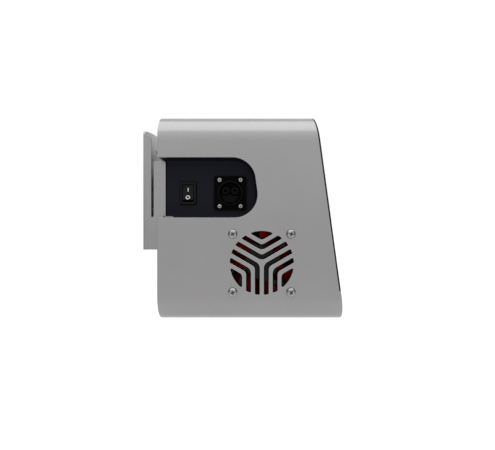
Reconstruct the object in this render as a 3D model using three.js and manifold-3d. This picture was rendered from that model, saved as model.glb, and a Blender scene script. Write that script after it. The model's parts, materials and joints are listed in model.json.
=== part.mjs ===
// Sous vide circulator: a box-shaped head with a slanted glass front, a fan in one side,
// a recessed panel with the switch and the power inlet, and a bracket at the back.
// Millimetres, +Z up. +X points to the slanted front and the fan side faces -Y.
// The origin is on the flat underside, in the middle of the footprint.

import * as THREE from 'three';
import * as BufferGeometryUtils from 'three/addons/utils/BufferGeometryUtils.js';
import Module from 'manifold-3d';

const wasm = await Module();
wasm.setup();

// ---- driving dimensions ----

const WIDTH = 150;            // over the two side faces
const HEIGHT = 182;
const CORNER = 24;            // outer radius of the four long edges
const SHEET = 2;              // thickness of every folded metal sheet
const GAP = 0.3;              // clearance between neighbouring pieces

const REAR_X = -73.3;         // rear edge of the cover
const FRONT_FOOT_X = 87.5;    // front edge of the cover where it meets the underside
const FRONT_SLOPE = 0.1364;   // how far the front leans back for each millimetre of height
const FRONT_PROUD = 1.2;      // how far the glass and the lip stand in front of that edge
const GLASS_GAP = 0.25;
const LIP_TOP = 28.2;         // the folded lip closes the front up to here, then the glass starts

const RECESS_LOW = 91.4;      // the side recess, open at the rear
const RECESS_HIGH = 143.2;
const RECESS_RADIUS = 20;
const RECESS_BEHIND_FRONT = 59.1;
const PANEL_Y = 55;           // outer face of the recessed panel, from the middle plane
const TRAY_WALL = 1.5;
const TRAY_SETBACK = 3.5;     // from the cover's rear edge to the tray's
const PANEL_MIDDLE_Z = 113.5; // height of what is mounted on the recessed panels

const FAN = { x: 16.8, z: 52.3, size: 60, deep: 15, bore: 28.6, screwPitch: 50 };
const GRILLE = { radius: 27.5, arm: 3.7, slot: 4.0, pitch: 7.6 };
const LOUVRES = { x: -42, z: 50, count: 6, pitch: 9, wide: 4, tall: 42 };   // in the far side
const REAR_VENTS = { low: 96, count: 6, pitch: 9, wide: 64, tall: 4 };

const SWITCH = { x: -49.2, wide: 15.5, tall: 21, bezel: 2, deep: 16 };
const ROCKER = { wide: 9.6, reach: 7.6, lean: THREE.MathUtils.degToRad(12), face: 2, below: 3 };
const ROCKER_AXIS_Y = -54.5;
const TERMINAL = { rise: 5, wide: 4.8, thick: 0.8, long: 8 };

const INLET = { x: -11, wide: 29.5, tall: 31, flange: 2, ring: 11.5, bore: 9.8, proud: 3, deep: 15 };
const INLET_SCREWS = { wide: 19, tall: 24 };
const SOCKETS = { dx: 4.2, dz: 2.3, radius: 3.3, hole: 1.5, contact: 1.2 };

const BRACKET = {
  backX: -90, low: 62.3, rimTop: 165.7, rimX: -82.6, frontX: -62,
  tabRearX: -80.3, tabFrontX: -69.6, tabLow: 92.6, tabTop: 142.5,
  shoulder: 170.5, crown: 175,
};
const BRACKET_OUTER_Y = PANEL_Y + GAP + SHEET;
const WALL_HOLES = { y: 40, heights: [75, 150], radius: 2.25 };

const PUMP = { y: 28, z: 38, radius: 20, backX: -45, frontX: -24 };
const HEATER = { y: 10, z: 100, radius: 14, half: 25 };
const NOZZLE = { radius: 5, bore: 3 };
const HOSE_RADIUS = 4.5;
const PORTS = { inlet: -10, outlet: -40, z: 117 };

const DISPLAY = { half: 48, low: 98, high: 152, deep: 5 };
const CONTROL = { half: 60, low: 92, high: 162, setback: 13, thick: 1.6 };
const SUPPLY = { rear: -60, front: 50, y: -23, half: 22, under: 12, thick: 1.6 };

// ---- materials ----

const finish = (color, roughness, metalness) =>
  new THREE.MeshStandardMaterial({ color, roughness, metalness });

const MATERIALS = {
  cover: () => finish(0x9a9897, 0.45, 0.7),
  darkSheet: () => finish(0x1e1f24, 0.55, 0.3),
  blackPlastic: () => finish(0x121213, 0.45, 0),
  glass: () => finish(0x08080a, 0.08, 0),
  chrome: () => finish(0xd8d8da, 0.18, 1),
  zinc: () => finish(0xa9abad, 0.4, 0.9),
  red: () => finish(0x6a0606, 0.4, 0),
  board: () => finish(0x14442c, 0.6, 0),
  brass: () => finish(0xb8924a, 0.35, 0.9),
  hose: () => finish(0xd9d9d3, 0.5, 0),
};

// ---- solids ----

// Turns local axes to world axes: what is drawn in local x and y, and stands along local z.
const BASES = {
  front: [[0, 1, 0], [0, 0, 1], [1, 0, 0]],
  rear: [[0, -1, 0], [0, 0, 1], [-1, 0, 0]],
  near: [[1, 0, 0], [0, 0, 1], [0, -1, 0]],
  far: [[-1, 0, 0], [0, 0, 1], [0, 1, 0]],
  up: [[1, 0, 0], [0, 1, 0], [0, 0, 1]],
};

function seat(geometry, facing, at) {
  const [x, y, z] = BASES[facing].map((axis) => new THREE.Vector3(...axis));
  const turn = new THREE.Matrix4().makeBasis(x, y, z).setPosition(...at);
  return geometry.applyMatrix4(turn);
}

// A closed geometry as a solid for joining and cutting, with its faces pointing out.
function solid(geometry) {
  geometry.deleteAttribute('normal');
  geometry.deleteAttribute('uv');
  const merged = BufferGeometryUtils.mergeVertices(geometry, 1e-5);
  const points = merged.attributes.position;
  const triangles = Uint32Array.from(merged.index.array);
  if (signedVolume(points, triangles) < 0) {
    triangles.reverse();
  }
  const mesh = new wasm.Mesh({
    numProp: 3,
    vertProperties: Float32Array.from(points.array),
    triVerts: triangles,
  });
  mesh.merge();
  return new wasm.Manifold(mesh);
}

function signedVolume(points, triangles) {
  const [a, b, c] = [new THREE.Vector3(), new THREE.Vector3(), new THREE.Vector3()];
  let sum = 0;
  for (let i = 0; i < triangles.length; i += 3) {
    a.fromBufferAttribute(points, triangles[i]);
    b.fromBufferAttribute(points, triangles[i + 1]);
    c.fromBufferAttribute(points, triangles[i + 2]);
    sum += a.dot(b.cross(c)) / 6;
  }
  return sum;
}

function geometryOf(body) {
  const { vertProperties, triVerts } = body.getMesh();
  const geometry = new THREE.BufferGeometry();
  geometry.setAttribute('position', new THREE.BufferAttribute(vertProperties, 3));
  geometry.setIndex(new THREE.BufferAttribute(triVerts, 1));
  geometry.computeVertexNormals();
  return geometry;
}

const join = (...bodies) => bodies.reduce((whole, body) => whole.add(body));
const cut = (body, ...tools) => tools.reduce((rest, tool) => rest.subtract(tool), body);

// An outline through corners, each [x, y] or [x, y, rounding radius].
function outline(corners) {
  const count = corners.length;
  return new THREE.Shape(corners.flatMap(([x, y, radius = 0], i) => {
    const corner = new THREE.Vector2(x, y);
    if (radius === 0) {
      return [corner];
    }
    const [before, after] = [corners[(i + count - 1) % count], corners[(i + 1) % count]]
      .map((point) => new THREE.Vector2(point[0], point[1]).sub(corner).normalize());
    const half = Math.acos(before.dot(after)) / 2;
    const middle = before.clone().add(after).setLength(radius / Math.sin(half)).add(corner);
    const start = before.clone().multiplyScalar(radius / Math.tan(half)).add(corner).sub(middle);
    const sweep = (before.cross(after) < 0 ? 1 : -1) * (Math.PI - 2 * half);
    const steps = Math.ceil(1.3 * Math.sqrt(radius) * Math.abs(sweep));
    return Array.from({ length: steps + 1 }, (_, step) =>
      start.clone().rotateAround(new THREE.Vector2(), sweep * step / steps).add(middle));
  }));
}

const rectangle = (wide, tall, radius = 0, x = 0, y = 0) => outline([
  [x - wide / 2, y - tall / 2, radius],
  [x + wide / 2, y - tall / 2, radius],
  [x + wide / 2, y + tall / 2, radius],
  [x - wide / 2, y + tall / 2, radius],
]);

function disc(radius, x = 0, y = 0) {
  return new THREE.Shape().absarc(x, y, radius, 0, Math.PI * 2);
}

// A flat shape given a thickness along its facing direction, starting at a point.
function plate(shape, depth, facing, at, curveSegments = 4) {
  const options = { depth, bevelEnabled: false, curveSegments };
  return solid(seat(new THREE.ExtrudeGeometry(shape, options), facing, at));
}

const rod = (radius, length, facing, at, roundness = 8) =>
  plate(disc(radius), length, facing, at, roundness);

// A turned piece from [radius, height] points; it stands along its facing direction.
function turned(profile, facing, at, segments = 16) {
  const points = profile.map(([radius, height]) => new THREE.Vector2(radius, height));
  return solid(seat(new THREE.LatheGeometry(points, segments).rotateX(Math.PI / 2), facing, at));
}

function box(low, high) {
  const size = high.map((value, i) => value - low[i]);
  const middle = high.map((value, i) => (value + low[i]) / 2);
  return solid(new THREE.BoxGeometry(...size).translate(...middle));
}

// ---- assembly ----

const circulator = new THREE.Group();

function add(name, material, body) {
  const mesh = new THREE.Mesh(geometryOf(body), MATERIALS[material]());
  mesh.name = name;
  circulator.add(mesh);
}

const frontAt = (z) => FRONT_FOOT_X - FRONT_SLOPE * z;

// A layer parallel to the slanted front, between two distances from the cover's front edge.
function frontLayer(from, to, low, high, halfWidth) {
  const shape = outline([
    [frontAt(low) + from, low], [frontAt(low) + to, low],
    [frontAt(high) + to, high], [frontAt(high) + from, high],
  ]);
  return plate(shape, 2 * halfWidth, 'near', [0, halfWidth, 0]);
}

// The box's section, drawn in from its outer surface by an inset, as a long bar.
function sectionBar(inset, rear, front, roundness = 6) {
  const shape = rectangle(
    WIDTH - 2 * inset, HEIGHT - 2 * inset, CORNER - inset, 0, HEIGHT / 2);
  return plate(shape, front - rear, 'front', [rear, 0, 0], roundness);
}

// The recess in side view, grown outwards by an amount, from a rear edge forwards.
function recessOutline(grow, rear, rearRadius = 0) {
  const [low, high] = [RECESS_LOW - grow, RECESS_HIGH + grow];
  const endAt = (z) => frontAt(z) - RECESS_BEHIND_FRONT + grow;
  const radius = RECESS_RADIUS + grow;
  return outline([
    [rear, low, rearRadius], [endAt(low), low, radius],
    [endAt(high), high, radius], [rear, high, rearRadius],
  ]);
}

const SIDES = { near: -1, far: 1 };

// ---- cover ----

// The slots between the three arms of the fan grille, around its centre.
function grilleSlots() {
  const along = new THREE.Vector2(Math.cos(Math.PI / 6), Math.sin(Math.PI / 6));
  const across = new THREE.Vector2(-along.y, along.x);
  const onRim = (offset) => across.clone().multiplyScalar(offset)
    .addScaledVector(along, Math.sqrt(GRILLE.radius ** 2 - offset ** 2));
  const tip = (offset) => offset / Math.cos(Math.PI / 6);
  const [endRound, nearRound, farRound, capRound] = [0.9, 6, 3.8, 4];
  const shapes = [0, 1].map((row) => {
    const near = GRILLE.arm / 2 + row * GRILLE.pitch;
    const far = near + GRILLE.slot;
    const [a, b] = [onRim(near), onRim(far)];
    return [
      [a.x, a.y, endRound], [b.x, b.y, endRound], [0, tip(far), farRound],
      [-b.x, b.y, endRound], [-a.x, a.y, endRound], [0, tip(near), nearRound],
    ];
  });
  const capOffset = GRILLE.arm / 2 + 2 * GRILLE.pitch;
  const end = onRim(capOffset);
  const rim = [];
  const steps = 8;
  for (let i = 1; i < steps; i += 1) {
    const angle = THREE.MathUtils.lerp(end.angle(), Math.PI - end.angle(), i / steps);
    rim.push([GRILLE.radius * Math.cos(angle), GRILLE.radius * Math.sin(angle)]);
  }
  shapes.push([
    [end.x, end.y, endRound], ...rim, [-end.x, end.y, endRound], [0, tip(capOffset), capRound],
  ]);
  return shapes;
}

function grilleCutters() {
  const cutters = [];
  for (const sector of [0, 1, 2]) {
    for (const corners of grilleSlots()) {
      const turn = sector * Math.PI * 2 / 3;
      const turnedCorners = corners.map(([x, y, radius]) => {
        const point = new THREE.Vector2(x, y).rotateAround(new THREE.Vector2(), turn);
        return [point.x + FAN.x, point.y + FAN.z, radius];
      });
      cutters.push(plate(outline(turnedCorners), 3 * SHEET, 'near', [0, -WIDTH / 2 + 2 * SHEET, 0], 2));
    }
  }
  return cutters;
}

function fanScrewPlaces() {
  const half = FAN.screwPitch / 2;
  return [[-half, half], [half, half], [half, -half], [-half, -half]]
    .map(([x, z]) => [FAN.x + x, FAN.z + z]);
}

function makeCover() {
  const reach = 40;
  const wall = cut(
    sectionBar(0, REAR_X, FRONT_FOOT_X + reach),
    sectionBar(SHEET, REAR_X - reach, FRONT_FOOT_X + 2 * reach),
  );
  const ahead = frontLayer(0, 3 * reach, LIP_TOP - GAP, HEIGHT + reach, WIDTH);
  const aheadOfLip = frontLayer(FRONT_PROUD, 3 * reach, -reach, HEIGHT, WIDTH);
  const lip = frontLayer(FRONT_PROUD - SHEET, FRONT_PROUD, 0, LIP_TOP - GAP, WIDTH)
    .intersect(sectionBar(0, REAR_X, FRONT_FOOT_X + reach));
  const recesses = Object.values(SIDES).map((side) => {
    const start = side < 0 ? -PANEL_Y : WIDTH;
    return plate(recessOutline(0, REAR_X - reach), WIDTH - PANEL_Y, 'near', [0, start, 0], 6);
  });
  const rearRounding = 1.5;
  const roundedRear = Object.values(SIDES).map((side) => {
    const start = side < 0 ? -PANEL_Y : WIDTH;
    const blend = [
      [REAR_X - 1, RECESS_HIGH - 1], [REAR_X + rearRounding, RECESS_HIGH - 1],
      [REAR_X, RECESS_HIGH + rearRounding], [REAR_X - 1, RECESS_HIGH + rearRounding],
    ];
    return plate(outline(blend), WIDTH - PANEL_Y, 'near', [0, start, 0]);
  });
  const screwHoles = fanScrewPlaces().map(([x, z]) =>
    rod(2.2, 3 * SHEET, 'near', [x, -WIDTH / 2 + 2 * SHEET, z], 6));
  const louvres = [];
  for (let i = 0; i < LOUVRES.count; i += 1) {
    const x = LOUVRES.x + LOUVRES.pitch * (i - (LOUVRES.count - 1) / 2);
    const slot = rectangle(LOUVRES.wide, LOUVRES.tall, 1.9, x, LOUVRES.z);
    louvres.push(plate(slot, 3 * SHEET, 'near', [0, WIDTH / 2 + SHEET, 0], 2));
  }
  const tools = [ahead, aheadOfLip, ...recesses, ...roundedRear, ...grilleCutters(), ...screwHoles];
  add('cover', 'cover', join(cut(wall, ...tools, ...louvres), lip));
}

// ---- recessed side panels ----

function makeTray(name, side, holes) {
  const rear = REAR_X + TRAY_SETBACK;
  const outerY = WIDTH / 2 - SHEET - GAP;
  const [from, to] = [PANEL_Y - SHEET, outerY];
  const spanY = (shape, low, high, roundness) =>
    plate(shape, high - low, 'near', [0, side < 0 ? -low : high, 0], roundness);
  const block = spanY(recessOutline(GAP + TRAY_WALL, rear), from, to, 6);
  const hollow = spanY(recessOutline(GAP, rear - 1), PANEL_Y, to + 1, 6);
  const flangeSlot = box(
    [rear - 1, side < 0 ? -BRACKET_OUTER_Y - GAP : PANEL_Y, RECESS_LOW - 3],
    [BRACKET.frontX + GAP, side < 0 ? -PANEL_Y : BRACKET_OUTER_Y + GAP, RECESS_LOW + 3],
  );
  const cutters = holes.map((shape) => spanY(shape, from - 1, PANEL_Y + 1, 12));
  add(name, 'darkSheet', cut(block, hollow, flangeSlot, ...cutters));
}

function inletScrewPlaces() {
  const [x, z] = [INLET_SCREWS.wide / 2, INLET_SCREWS.tall / 2];
  return [[-x, z], [x, z], [x, -z], [-x, -z]]
    .map(([dx, dz]) => [INLET.x + dx, PANEL_MIDDLE_Z + dz]);
}

const SWITCH_BODY = { wide: 13, tall: 19.2 };
const PORT_HOLE = 6.5;

function makeTrays() {
  makeTray('switch_panel', SIDES.near, [
    rectangle(SWITCH_BODY.wide + 2 * GAP, SWITCH_BODY.tall + 2 * GAP, 0, SWITCH.x, PANEL_MIDDLE_Z),
    disc(INLET.ring + GAP, INLET.x, PANEL_MIDDLE_Z),
    ...inletScrewPlaces().map(([x, z]) => disc(1.8, x, z)),
  ]);
  makeTray('hose_panel', SIDES.far, [
    disc(PORT_HOLE, PORTS.inlet, PORTS.z),
    disc(PORT_HOLE, PORTS.outlet, PORTS.z),
  ]);
}

// ---- screws ----

// A pan-head screw whose head rests at a point; the head is up along the facing direction.
function panScrew(headRadius, headHeight, shankRadius, shankLength, facing, at, segments = 10) {
  return turned([
    [0, -shankLength], [shankRadius, -shankLength], [shankRadius, 0], [headRadius, 0],
    [headRadius, headHeight * 0.35], [headRadius * 0.86, headHeight * 0.75],
    [headRadius * 0.5, headHeight * 0.96], [0, headHeight],
  ], facing, at, segments);
}

// ---- rear panel and its fixing blocks ----

// The lower two sit between the bracket's sides.
const REAR_SCREWS = { high: { y: 66, z: 149.3 }, low: { y: 48, z: 77 }, block: 8 };

function rearScrewPlaces() {
  const { high, low } = REAR_SCREWS;
  return [[-high.y, high.z], [high.y, high.z], [low.y, low.z], [-low.y, low.z]];
}

function makeRearPanel() {
  const inset = SHEET + GAP;
  const panel = sectionBar(inset, REAR_X, REAR_X + SHEET);
  const recessBehind = [[PANEL_Y - 0.1, RECESS_LOW], [WIDTH, RECESS_HIGH]];
  const flangeSlot = [[PANEL_Y - 0.1, BRACKET.low - 2 * GAP], [BRACKET_OUTER_Y + 2 * GAP, RECESS_HIGH]];
  const notches = [recessBehind, flangeSlot].flatMap(([[y0, z0], [y1, z1]]) => [
    box([REAR_X - 1, y0, z0], [REAR_X + SHEET + 1, y1, z1]),
    box([REAR_X - 1, -y1, z0], [REAR_X + SHEET + 1, -y0, z1]),
  ]);
  const vents = [];
  for (let i = 0; i < REAR_VENTS.count; i += 1) {
    const z = REAR_VENTS.low + REAR_VENTS.pitch * i;
    const slot = rectangle(REAR_VENTS.wide, REAR_VENTS.tall, 1.9, 0, z);
    vents.push(plate(slot, 3 * SHEET, 'front', [REAR_X - SHEET, 0, 0], 2));
  }
  const holes = rearScrewPlaces().map(([y, z]) =>
    rod(1.8, 3 * SHEET, 'front', [REAR_X - SHEET, y, z], 4));
  add('rear_panel', 'cover', cut(panel, ...notches, ...vents, ...holes));
  rearScrewPlaces().forEach(([y, z], i) => {
    add(`rear_screw_${i + 1}`, 'chrome',
      panScrew(2.9, 3, 1.5, 9, 'rear', [REAR_X - GAP, y, z]));
    const { block } = REAR_SCREWS;
    const nut = cut(
      box([REAR_X + SHEET + GAP, y - block / 2, z - block / 2],
        [REAR_X + SHEET + GAP + 10, y + block / 2, z + block / 2]),
      rod(1.8, 20, 'front', [REAR_X, y, z], 6),
    );
    add(`fixing_block_${i + 1}`, 'zinc', nut);
  });
}

// ---- chassis ----

const BRACKET_SCREWS = { x: -66.5, heights: [70, 84] };

function makeChassis() {
  const [rear, front] = [REAR_X + SHEET + GAP, 70];
  const [floorLow, wallTop] = [3, RECESS_LOW - GAP - TRAY_WALL - GAP];
  const trough = cut(
    box([rear, -PANEL_Y, floorLow], [front, PANEL_Y, wallTop]),
    box([rear - 1, -PANEL_Y + SHEET, floorLow + SHEET], [front + 1, PANEL_Y - SHEET, HEIGHT]),
  );
  const boardStuds = [[-55, -40], [45, -40], [-55, -6], [45, -6]].map(([x, y]) =>
    rod(2.5, 8, 'up', [x, y, floorLow + 1], 4));
  const pumpSaddle = box([-40, PUMP.y - 8, floorLow + 1], [-28, PUMP.y + 8, PUMP.z - PUMP.radius - GAP]);
  const airHole = rod(27, 4 * SHEET, 'near', [FAN.x, -PANEL_Y + 2 * SHEET, FAN.z], 12);
  const airSlots = [];
  for (let i = 0; i < 3; i += 1) {
    const slot = rectangle(6, LOUVRES.tall - 6, 2.5, LOUVRES.x + 14 * (i - 1), LOUVRES.z);
    airSlots.push(plate(slot, 4 * SHEET, 'near', [0, PANEL_Y + 2 * SHEET, 0], 2));
  }
  const screwHoles = BRACKET_SCREWS.heights.map((z) =>
    rod(1.9, 2 * WIDTH, 'near', [BRACKET_SCREWS.x, WIDTH, z], 4));
  add('chassis', 'zinc',
    cut(join(trough, ...boardStuds, pumpSaddle), airHole, ...airSlots, ...screwHoles));
}

// ---- rear bracket ----

function makeBracket() {
  const half = BRACKET_OUTER_Y;
  const shoulderY = half - 5.3;
  const rise = BRACKET.crown - BRACKET.shoulder;
  const archRadius = (shoulderY ** 2 + rise ** 2) / (2 * rise);
  const lean = Math.asin(shoulderY / archRadius);
  const back = new THREE.Shape()
    .moveTo(-half, BRACKET.low)
    .lineTo(half, BRACKET.low)
    .lineTo(half, BRACKET.rimTop)
    .quadraticCurveTo(half, BRACKET.shoulder - 0.6, shoulderY, BRACKET.shoulder)
    .absarc(0, BRACKET.crown - archRadius, archRadius, Math.PI / 2 - lean, Math.PI / 2 + lean)
    .quadraticCurveTo(-half, BRACKET.shoulder - 0.6, -half, BRACKET.rimTop);
  const backPlate = plate(back, SHEET, 'front', [BRACKET.backX, 0, 0], 6);
  const { backX, low, rimTop, rimX, frontX, tabRearX, tabFrontX, tabLow, tabTop } = BRACKET;
  const side = outline([
    [backX, low], [frontX, low, 2], [frontX, tabLow, 2], [tabFrontX, tabLow],
    [tabFrontX, tabTop, 1], [tabRearX, tabTop, 1], [tabRearX, tabLow],
    [rimX, tabLow], [rimX, rimTop, 2], [backX, rimTop],
  ]);
  const flanges = [-half + SHEET, half].map((start) => plate(side, SHEET, 'near', [0, start, 0]));
  const relief = 0.7;
  const reliefs = [rimX + 0.9, tabFrontX - 1.2].map((x) =>
    rod(relief, 2 * WIDTH, 'near', [x, WIDTH, tabLow - relief / 2], 4));
  const wallHoles = [-WALL_HOLES.y, WALL_HOLES.y].flatMap((y) => WALL_HOLES.heights.map((z) =>
    rod(WALL_HOLES.radius, 3 * SHEET, 'front', [backX - SHEET, y, z], 4)));
  const screwHoles = BRACKET_SCREWS.heights.map((z) =>
    rod(1.9, 2 * WIDTH, 'near', [BRACKET_SCREWS.x, WIDTH, z], 4));
  add('rear_bracket', 'cover',
    cut(join(backPlate, ...flanges), ...reliefs, ...wallHoles, ...screwHoles));
  let number = 1;
  for (const facing of Object.keys(SIDES)) {
    for (const z of BRACKET_SCREWS.heights) {
      const at = [BRACKET_SCREWS.x, SIDES[facing] * (half + GAP), z];
      add(`bracket_screw_${number}`, 'chrome', panScrew(3, 2.4, 1.5, 8, facing, at));
      number += 1;
    }
  }
}

// ---- front ----

function makeFront() {
  const bar = sectionBar(0, REAR_X, FRONT_FOOT_X + 40);
  add('front_glass', 'glass',
    frontLayer(GLASS_GAP, FRONT_PROUD, LIP_TOP, HEIGHT, WIDTH).intersect(bar));
  const innerBar = sectionBar(SHEET + GAP, REAR_X, FRONT_FOOT_X + 40);
  const frameFace = GLASS_GAP - GAP;
  const { half, low, high, deep } = DISPLAY;
  const boardBack = -CONTROL.setback - CONTROL.thick;
  const frame = frontLayer(frameFace - 3, frameFace, LIP_TOP + GAP, HEIGHT, WIDTH).intersect(innerBar);
  const window = frontLayer(-10, 10, low - GAP, high + GAP, half + GAP);
  const bossReach = frontLayer(GAP - CONTROL.setback, frameFace - 1, 0, HEIGHT, WIDTH);
  const bosses = [-1, 1].flatMap((side) => [CONTROL.low + 5, CONTROL.high - 5].map((z) =>
    rod(3, 60, 'front', [FRONT_FOOT_X - 50, side * (CONTROL.half - 6), z], 4).intersect(bossReach)));
  add('front_frame', 'blackPlastic', join(cut(frame, window), ...bosses));
  add('display_module', 'glass',
    frontLayer(frameFace - deep, frameFace, low, high, half));
  add('control_board', 'board',
    frontLayer(boardBack, -CONTROL.setback, CONTROL.low, CONTROL.high, CONTROL.half));
}

// ---- fan ----

const HUB_RADIUS = 15.5;

function makeFan() {
  const face = -WIDTH / 2 + SHEET + GAP;
  const at = [FAN.x, face + FAN.deep, FAN.z];
  const frame = rectangle(FAN.size, FAN.size, 4);
  frame.holes.push(disc(FAN.bore));
  for (const [x, z] of fanScrewPlaces()) {
    frame.holes.push(disc(2.2, x - FAN.x, z - FAN.z));
  }
  const strutDeep = 3;
  const strutAt = [FAN.x, face + strutDeep, FAN.z];
  const struts = [1, 3].map((eighth) => {
    const strut = new THREE.ExtrudeGeometry(
      rectangle(2 * FAN.bore + 2, 3), { depth: strutDeep, bevelEnabled: false });
    return solid(seat(strut.rotateZ(eighth * Math.PI / 4), 'near', strutAt));
  });
  const hub = rod(HUB_RADIUS, strutDeep, 'near', strutAt, 12);
  const bearing = rod(1.6, FAN.deep, 'near', at, 6);
  const walls = plate(frame, FAN.deep, 'near', at, 10);
  add('fan_frame', 'blackPlastic', cut(join(walls, ...struts, hub), bearing));
  add('fan_impeller', 'red', makeImpeller(face + strutDeep + 0.6, FAN.deep - strutDeep - 1.4));
  fanScrewPlaces().forEach(([x, z], i) => {
    const head = [x, -WIDTH / 2 - GAP, z];
    add(`fan_screw_${i + 1}`, 'chrome', panScrew(4.1, 2.8, 1.9, 12, 'near', head, 16));
  });
}

// A closed skin over a row of four-cornered sections.
function loft(sections) {
  const points = sections.flat();
  const last = (sections.length - 1) * 4;
  const faces = [0, 2, 1, 0, 3, 2, last, last + 1, last + 2, last, last + 2, last + 3];
  for (let row = 0; row < last; row += 4) {
    for (let i = 0; i < 4; i += 1) {
      const [a, b] = [row + i, row + (i + 1) % 4];
      faces.push(a, b, b + 4, a, b + 4, a + 4);
    }
  }
  const geometry = new THREE.BufferGeometry().setFromPoints(points);
  geometry.setIndex(faces);
  return geometry;
}

// The fan's rotor: a hub with leaning blades and a short shaft, in front of a back plane.
function makeImpeller(frontY, deep) {
  const at = [FAN.x, frontY + deep, FAN.z];
  const hubRadius = HUB_RADIUS - 0.5;
  const tipRadius = FAN.bore - 0.9;
  const thick = 1.2;
  const body = rod(hubRadius, deep, 'near', at, 12);
  const shaft = rod(1.2, deep + 2, 'near', at, 5);
  const blades = [];
  const count = 7;
  for (let i = 0; i < count; i += 1) {
    const sections = [hubRadius - 1, 19, 23, tipRadius].map((radius) => {
      const sweep = 0.34 + 0.012 * (radius - hubRadius);
      const middle = i * Math.PI * 2 / count + 0.015 * (radius - hubRadius);
      return [[-1, 0], [1, deep], [1, deep - thick], [-1, -thick]].map(([along, height]) => {
        const angle = middle + along * sweep;
        const z = THREE.MathUtils.clamp(height + 0.3, 0.3, deep - 0.3);
        return new THREE.Vector3(radius * Math.cos(angle), radius * Math.sin(angle), z);
      });
    });
    sections.forEach((section) => {
      section[2].z = section[1].z - 2 * thick;
      section[0].z = section[3].z + 2 * thick;
    });
    blades.push(solid(seat(loft(sections), 'near', at)));
  }
  return join(body, shaft, ...blades);
}

// ---- rocker switch ----

function makeSwitch() {
  const bezelTop = -PANEL_Y - GAP - SWITCH.bezel;
  const at = (y) => [SWITCH.x, y, PANEL_MIDDLE_Z];
  const bevel = 0.7;
  const bezelBase = plate(rectangle(SWITCH.wide, SWITCH.tall, 1),
    SWITCH.bezel - bevel, 'near', at(-PANEL_Y - GAP));
  const rim = new THREE.ExtrudeGeometry(rectangle(SWITCH.wide, SWITCH.tall, 1), {
    depth: 0.01, bevelThickness: bevel, bevelSize: bevel, bevelOffset: -bevel, bevelSegments: 1,
  });
  const bevelled = solid(seat(rim, 'near', at(bezelTop + bevel)));
  const body = plate(rectangle(SWITCH_BODY.wide, SWITCH_BODY.tall), SWITCH.deep + 1,
    'near', at(SWITCH.deep - PANEL_Y));
  const mouth = plate(rectangle(ROCKER.wide + 2 * GAP, 2 * (ROCKER.reach + GAP)), 20,
    'near', at(-PANEL_Y + 9));
  const pinHoles = rod(1.4, 40, 'front', [SWITCH.x - 20, ROCKER_AXIS_Y, PANEL_MIDDLE_Z], 5);
  add('switch_housing', 'blackPlastic', cut(join(bezelBase, bevelled, body), mouth, pinHoles));

  // Side view about the pivot: x is outwards, y is up, and two faces meet in a shallow valley.
  const { reach, lean, face, below } = ROCKER;
  const endAngle = Math.acos((face * Math.cos(lean)) / reach) - lean;
  const bottomAngle = Math.acos(-below / reach);
  const profile = new THREE.Shape()
    .moveTo(face, 0)
    .absarc(0, 0, reach, endAngle, bottomAngle, false)
    .lineTo(-below, 0)
    .absarc(0, 0, reach, -bottomAngle, -endAngle, false);
  const rocker = new THREE.ExtrudeGeometry(profile,
    { depth: ROCKER.wide, bevelEnabled: false, curveSegments: 4 });
  rocker.translate(0, 0, -ROCKER.wide / 2);
  const pins = new THREE.ExtrudeGeometry(disc(1),
    { depth: ROCKER.wide + 2.2, bevelEnabled: false, curveSegments: 5 });
  pins.translate(0, 0, -ROCKER.wide / 2 - 1.1);
  // The upper end rests pressed in.
  const [outwards, up] = [new THREE.Vector3(0, -1, 0), new THREE.Vector3(0, 0, 1)];
  const turn = new THREE.Matrix4()
    .makeBasis(outwards, up, outwards.clone().cross(up))
    .premultiply(new THREE.Matrix4().makeRotationX(-lean))
    .setPosition(SWITCH.x, ROCKER_AXIS_Y, PANEL_MIDDLE_Z);
  add('switch_rocker', 'blackPlastic',
    join(solid(rocker.applyMatrix4(turn)), solid(pins.applyMatrix4(turn))));

  const bodyBack = SWITCH.deep - PANEL_Y;
  const { rise, wide, thick, long } = TERMINAL;
  [-rise, rise].forEach((dz, i) => {
    const tab = rectangle(wide, thick, 0, SWITCH.x, PANEL_MIDDLE_Z + dz);
    add(`switch_terminal_${i + 1}`, 'brass', plate(tab, long, 'near', [0, bodyBack + GAP + long, 0]));
  });
}

// ---- power inlet ----

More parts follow.
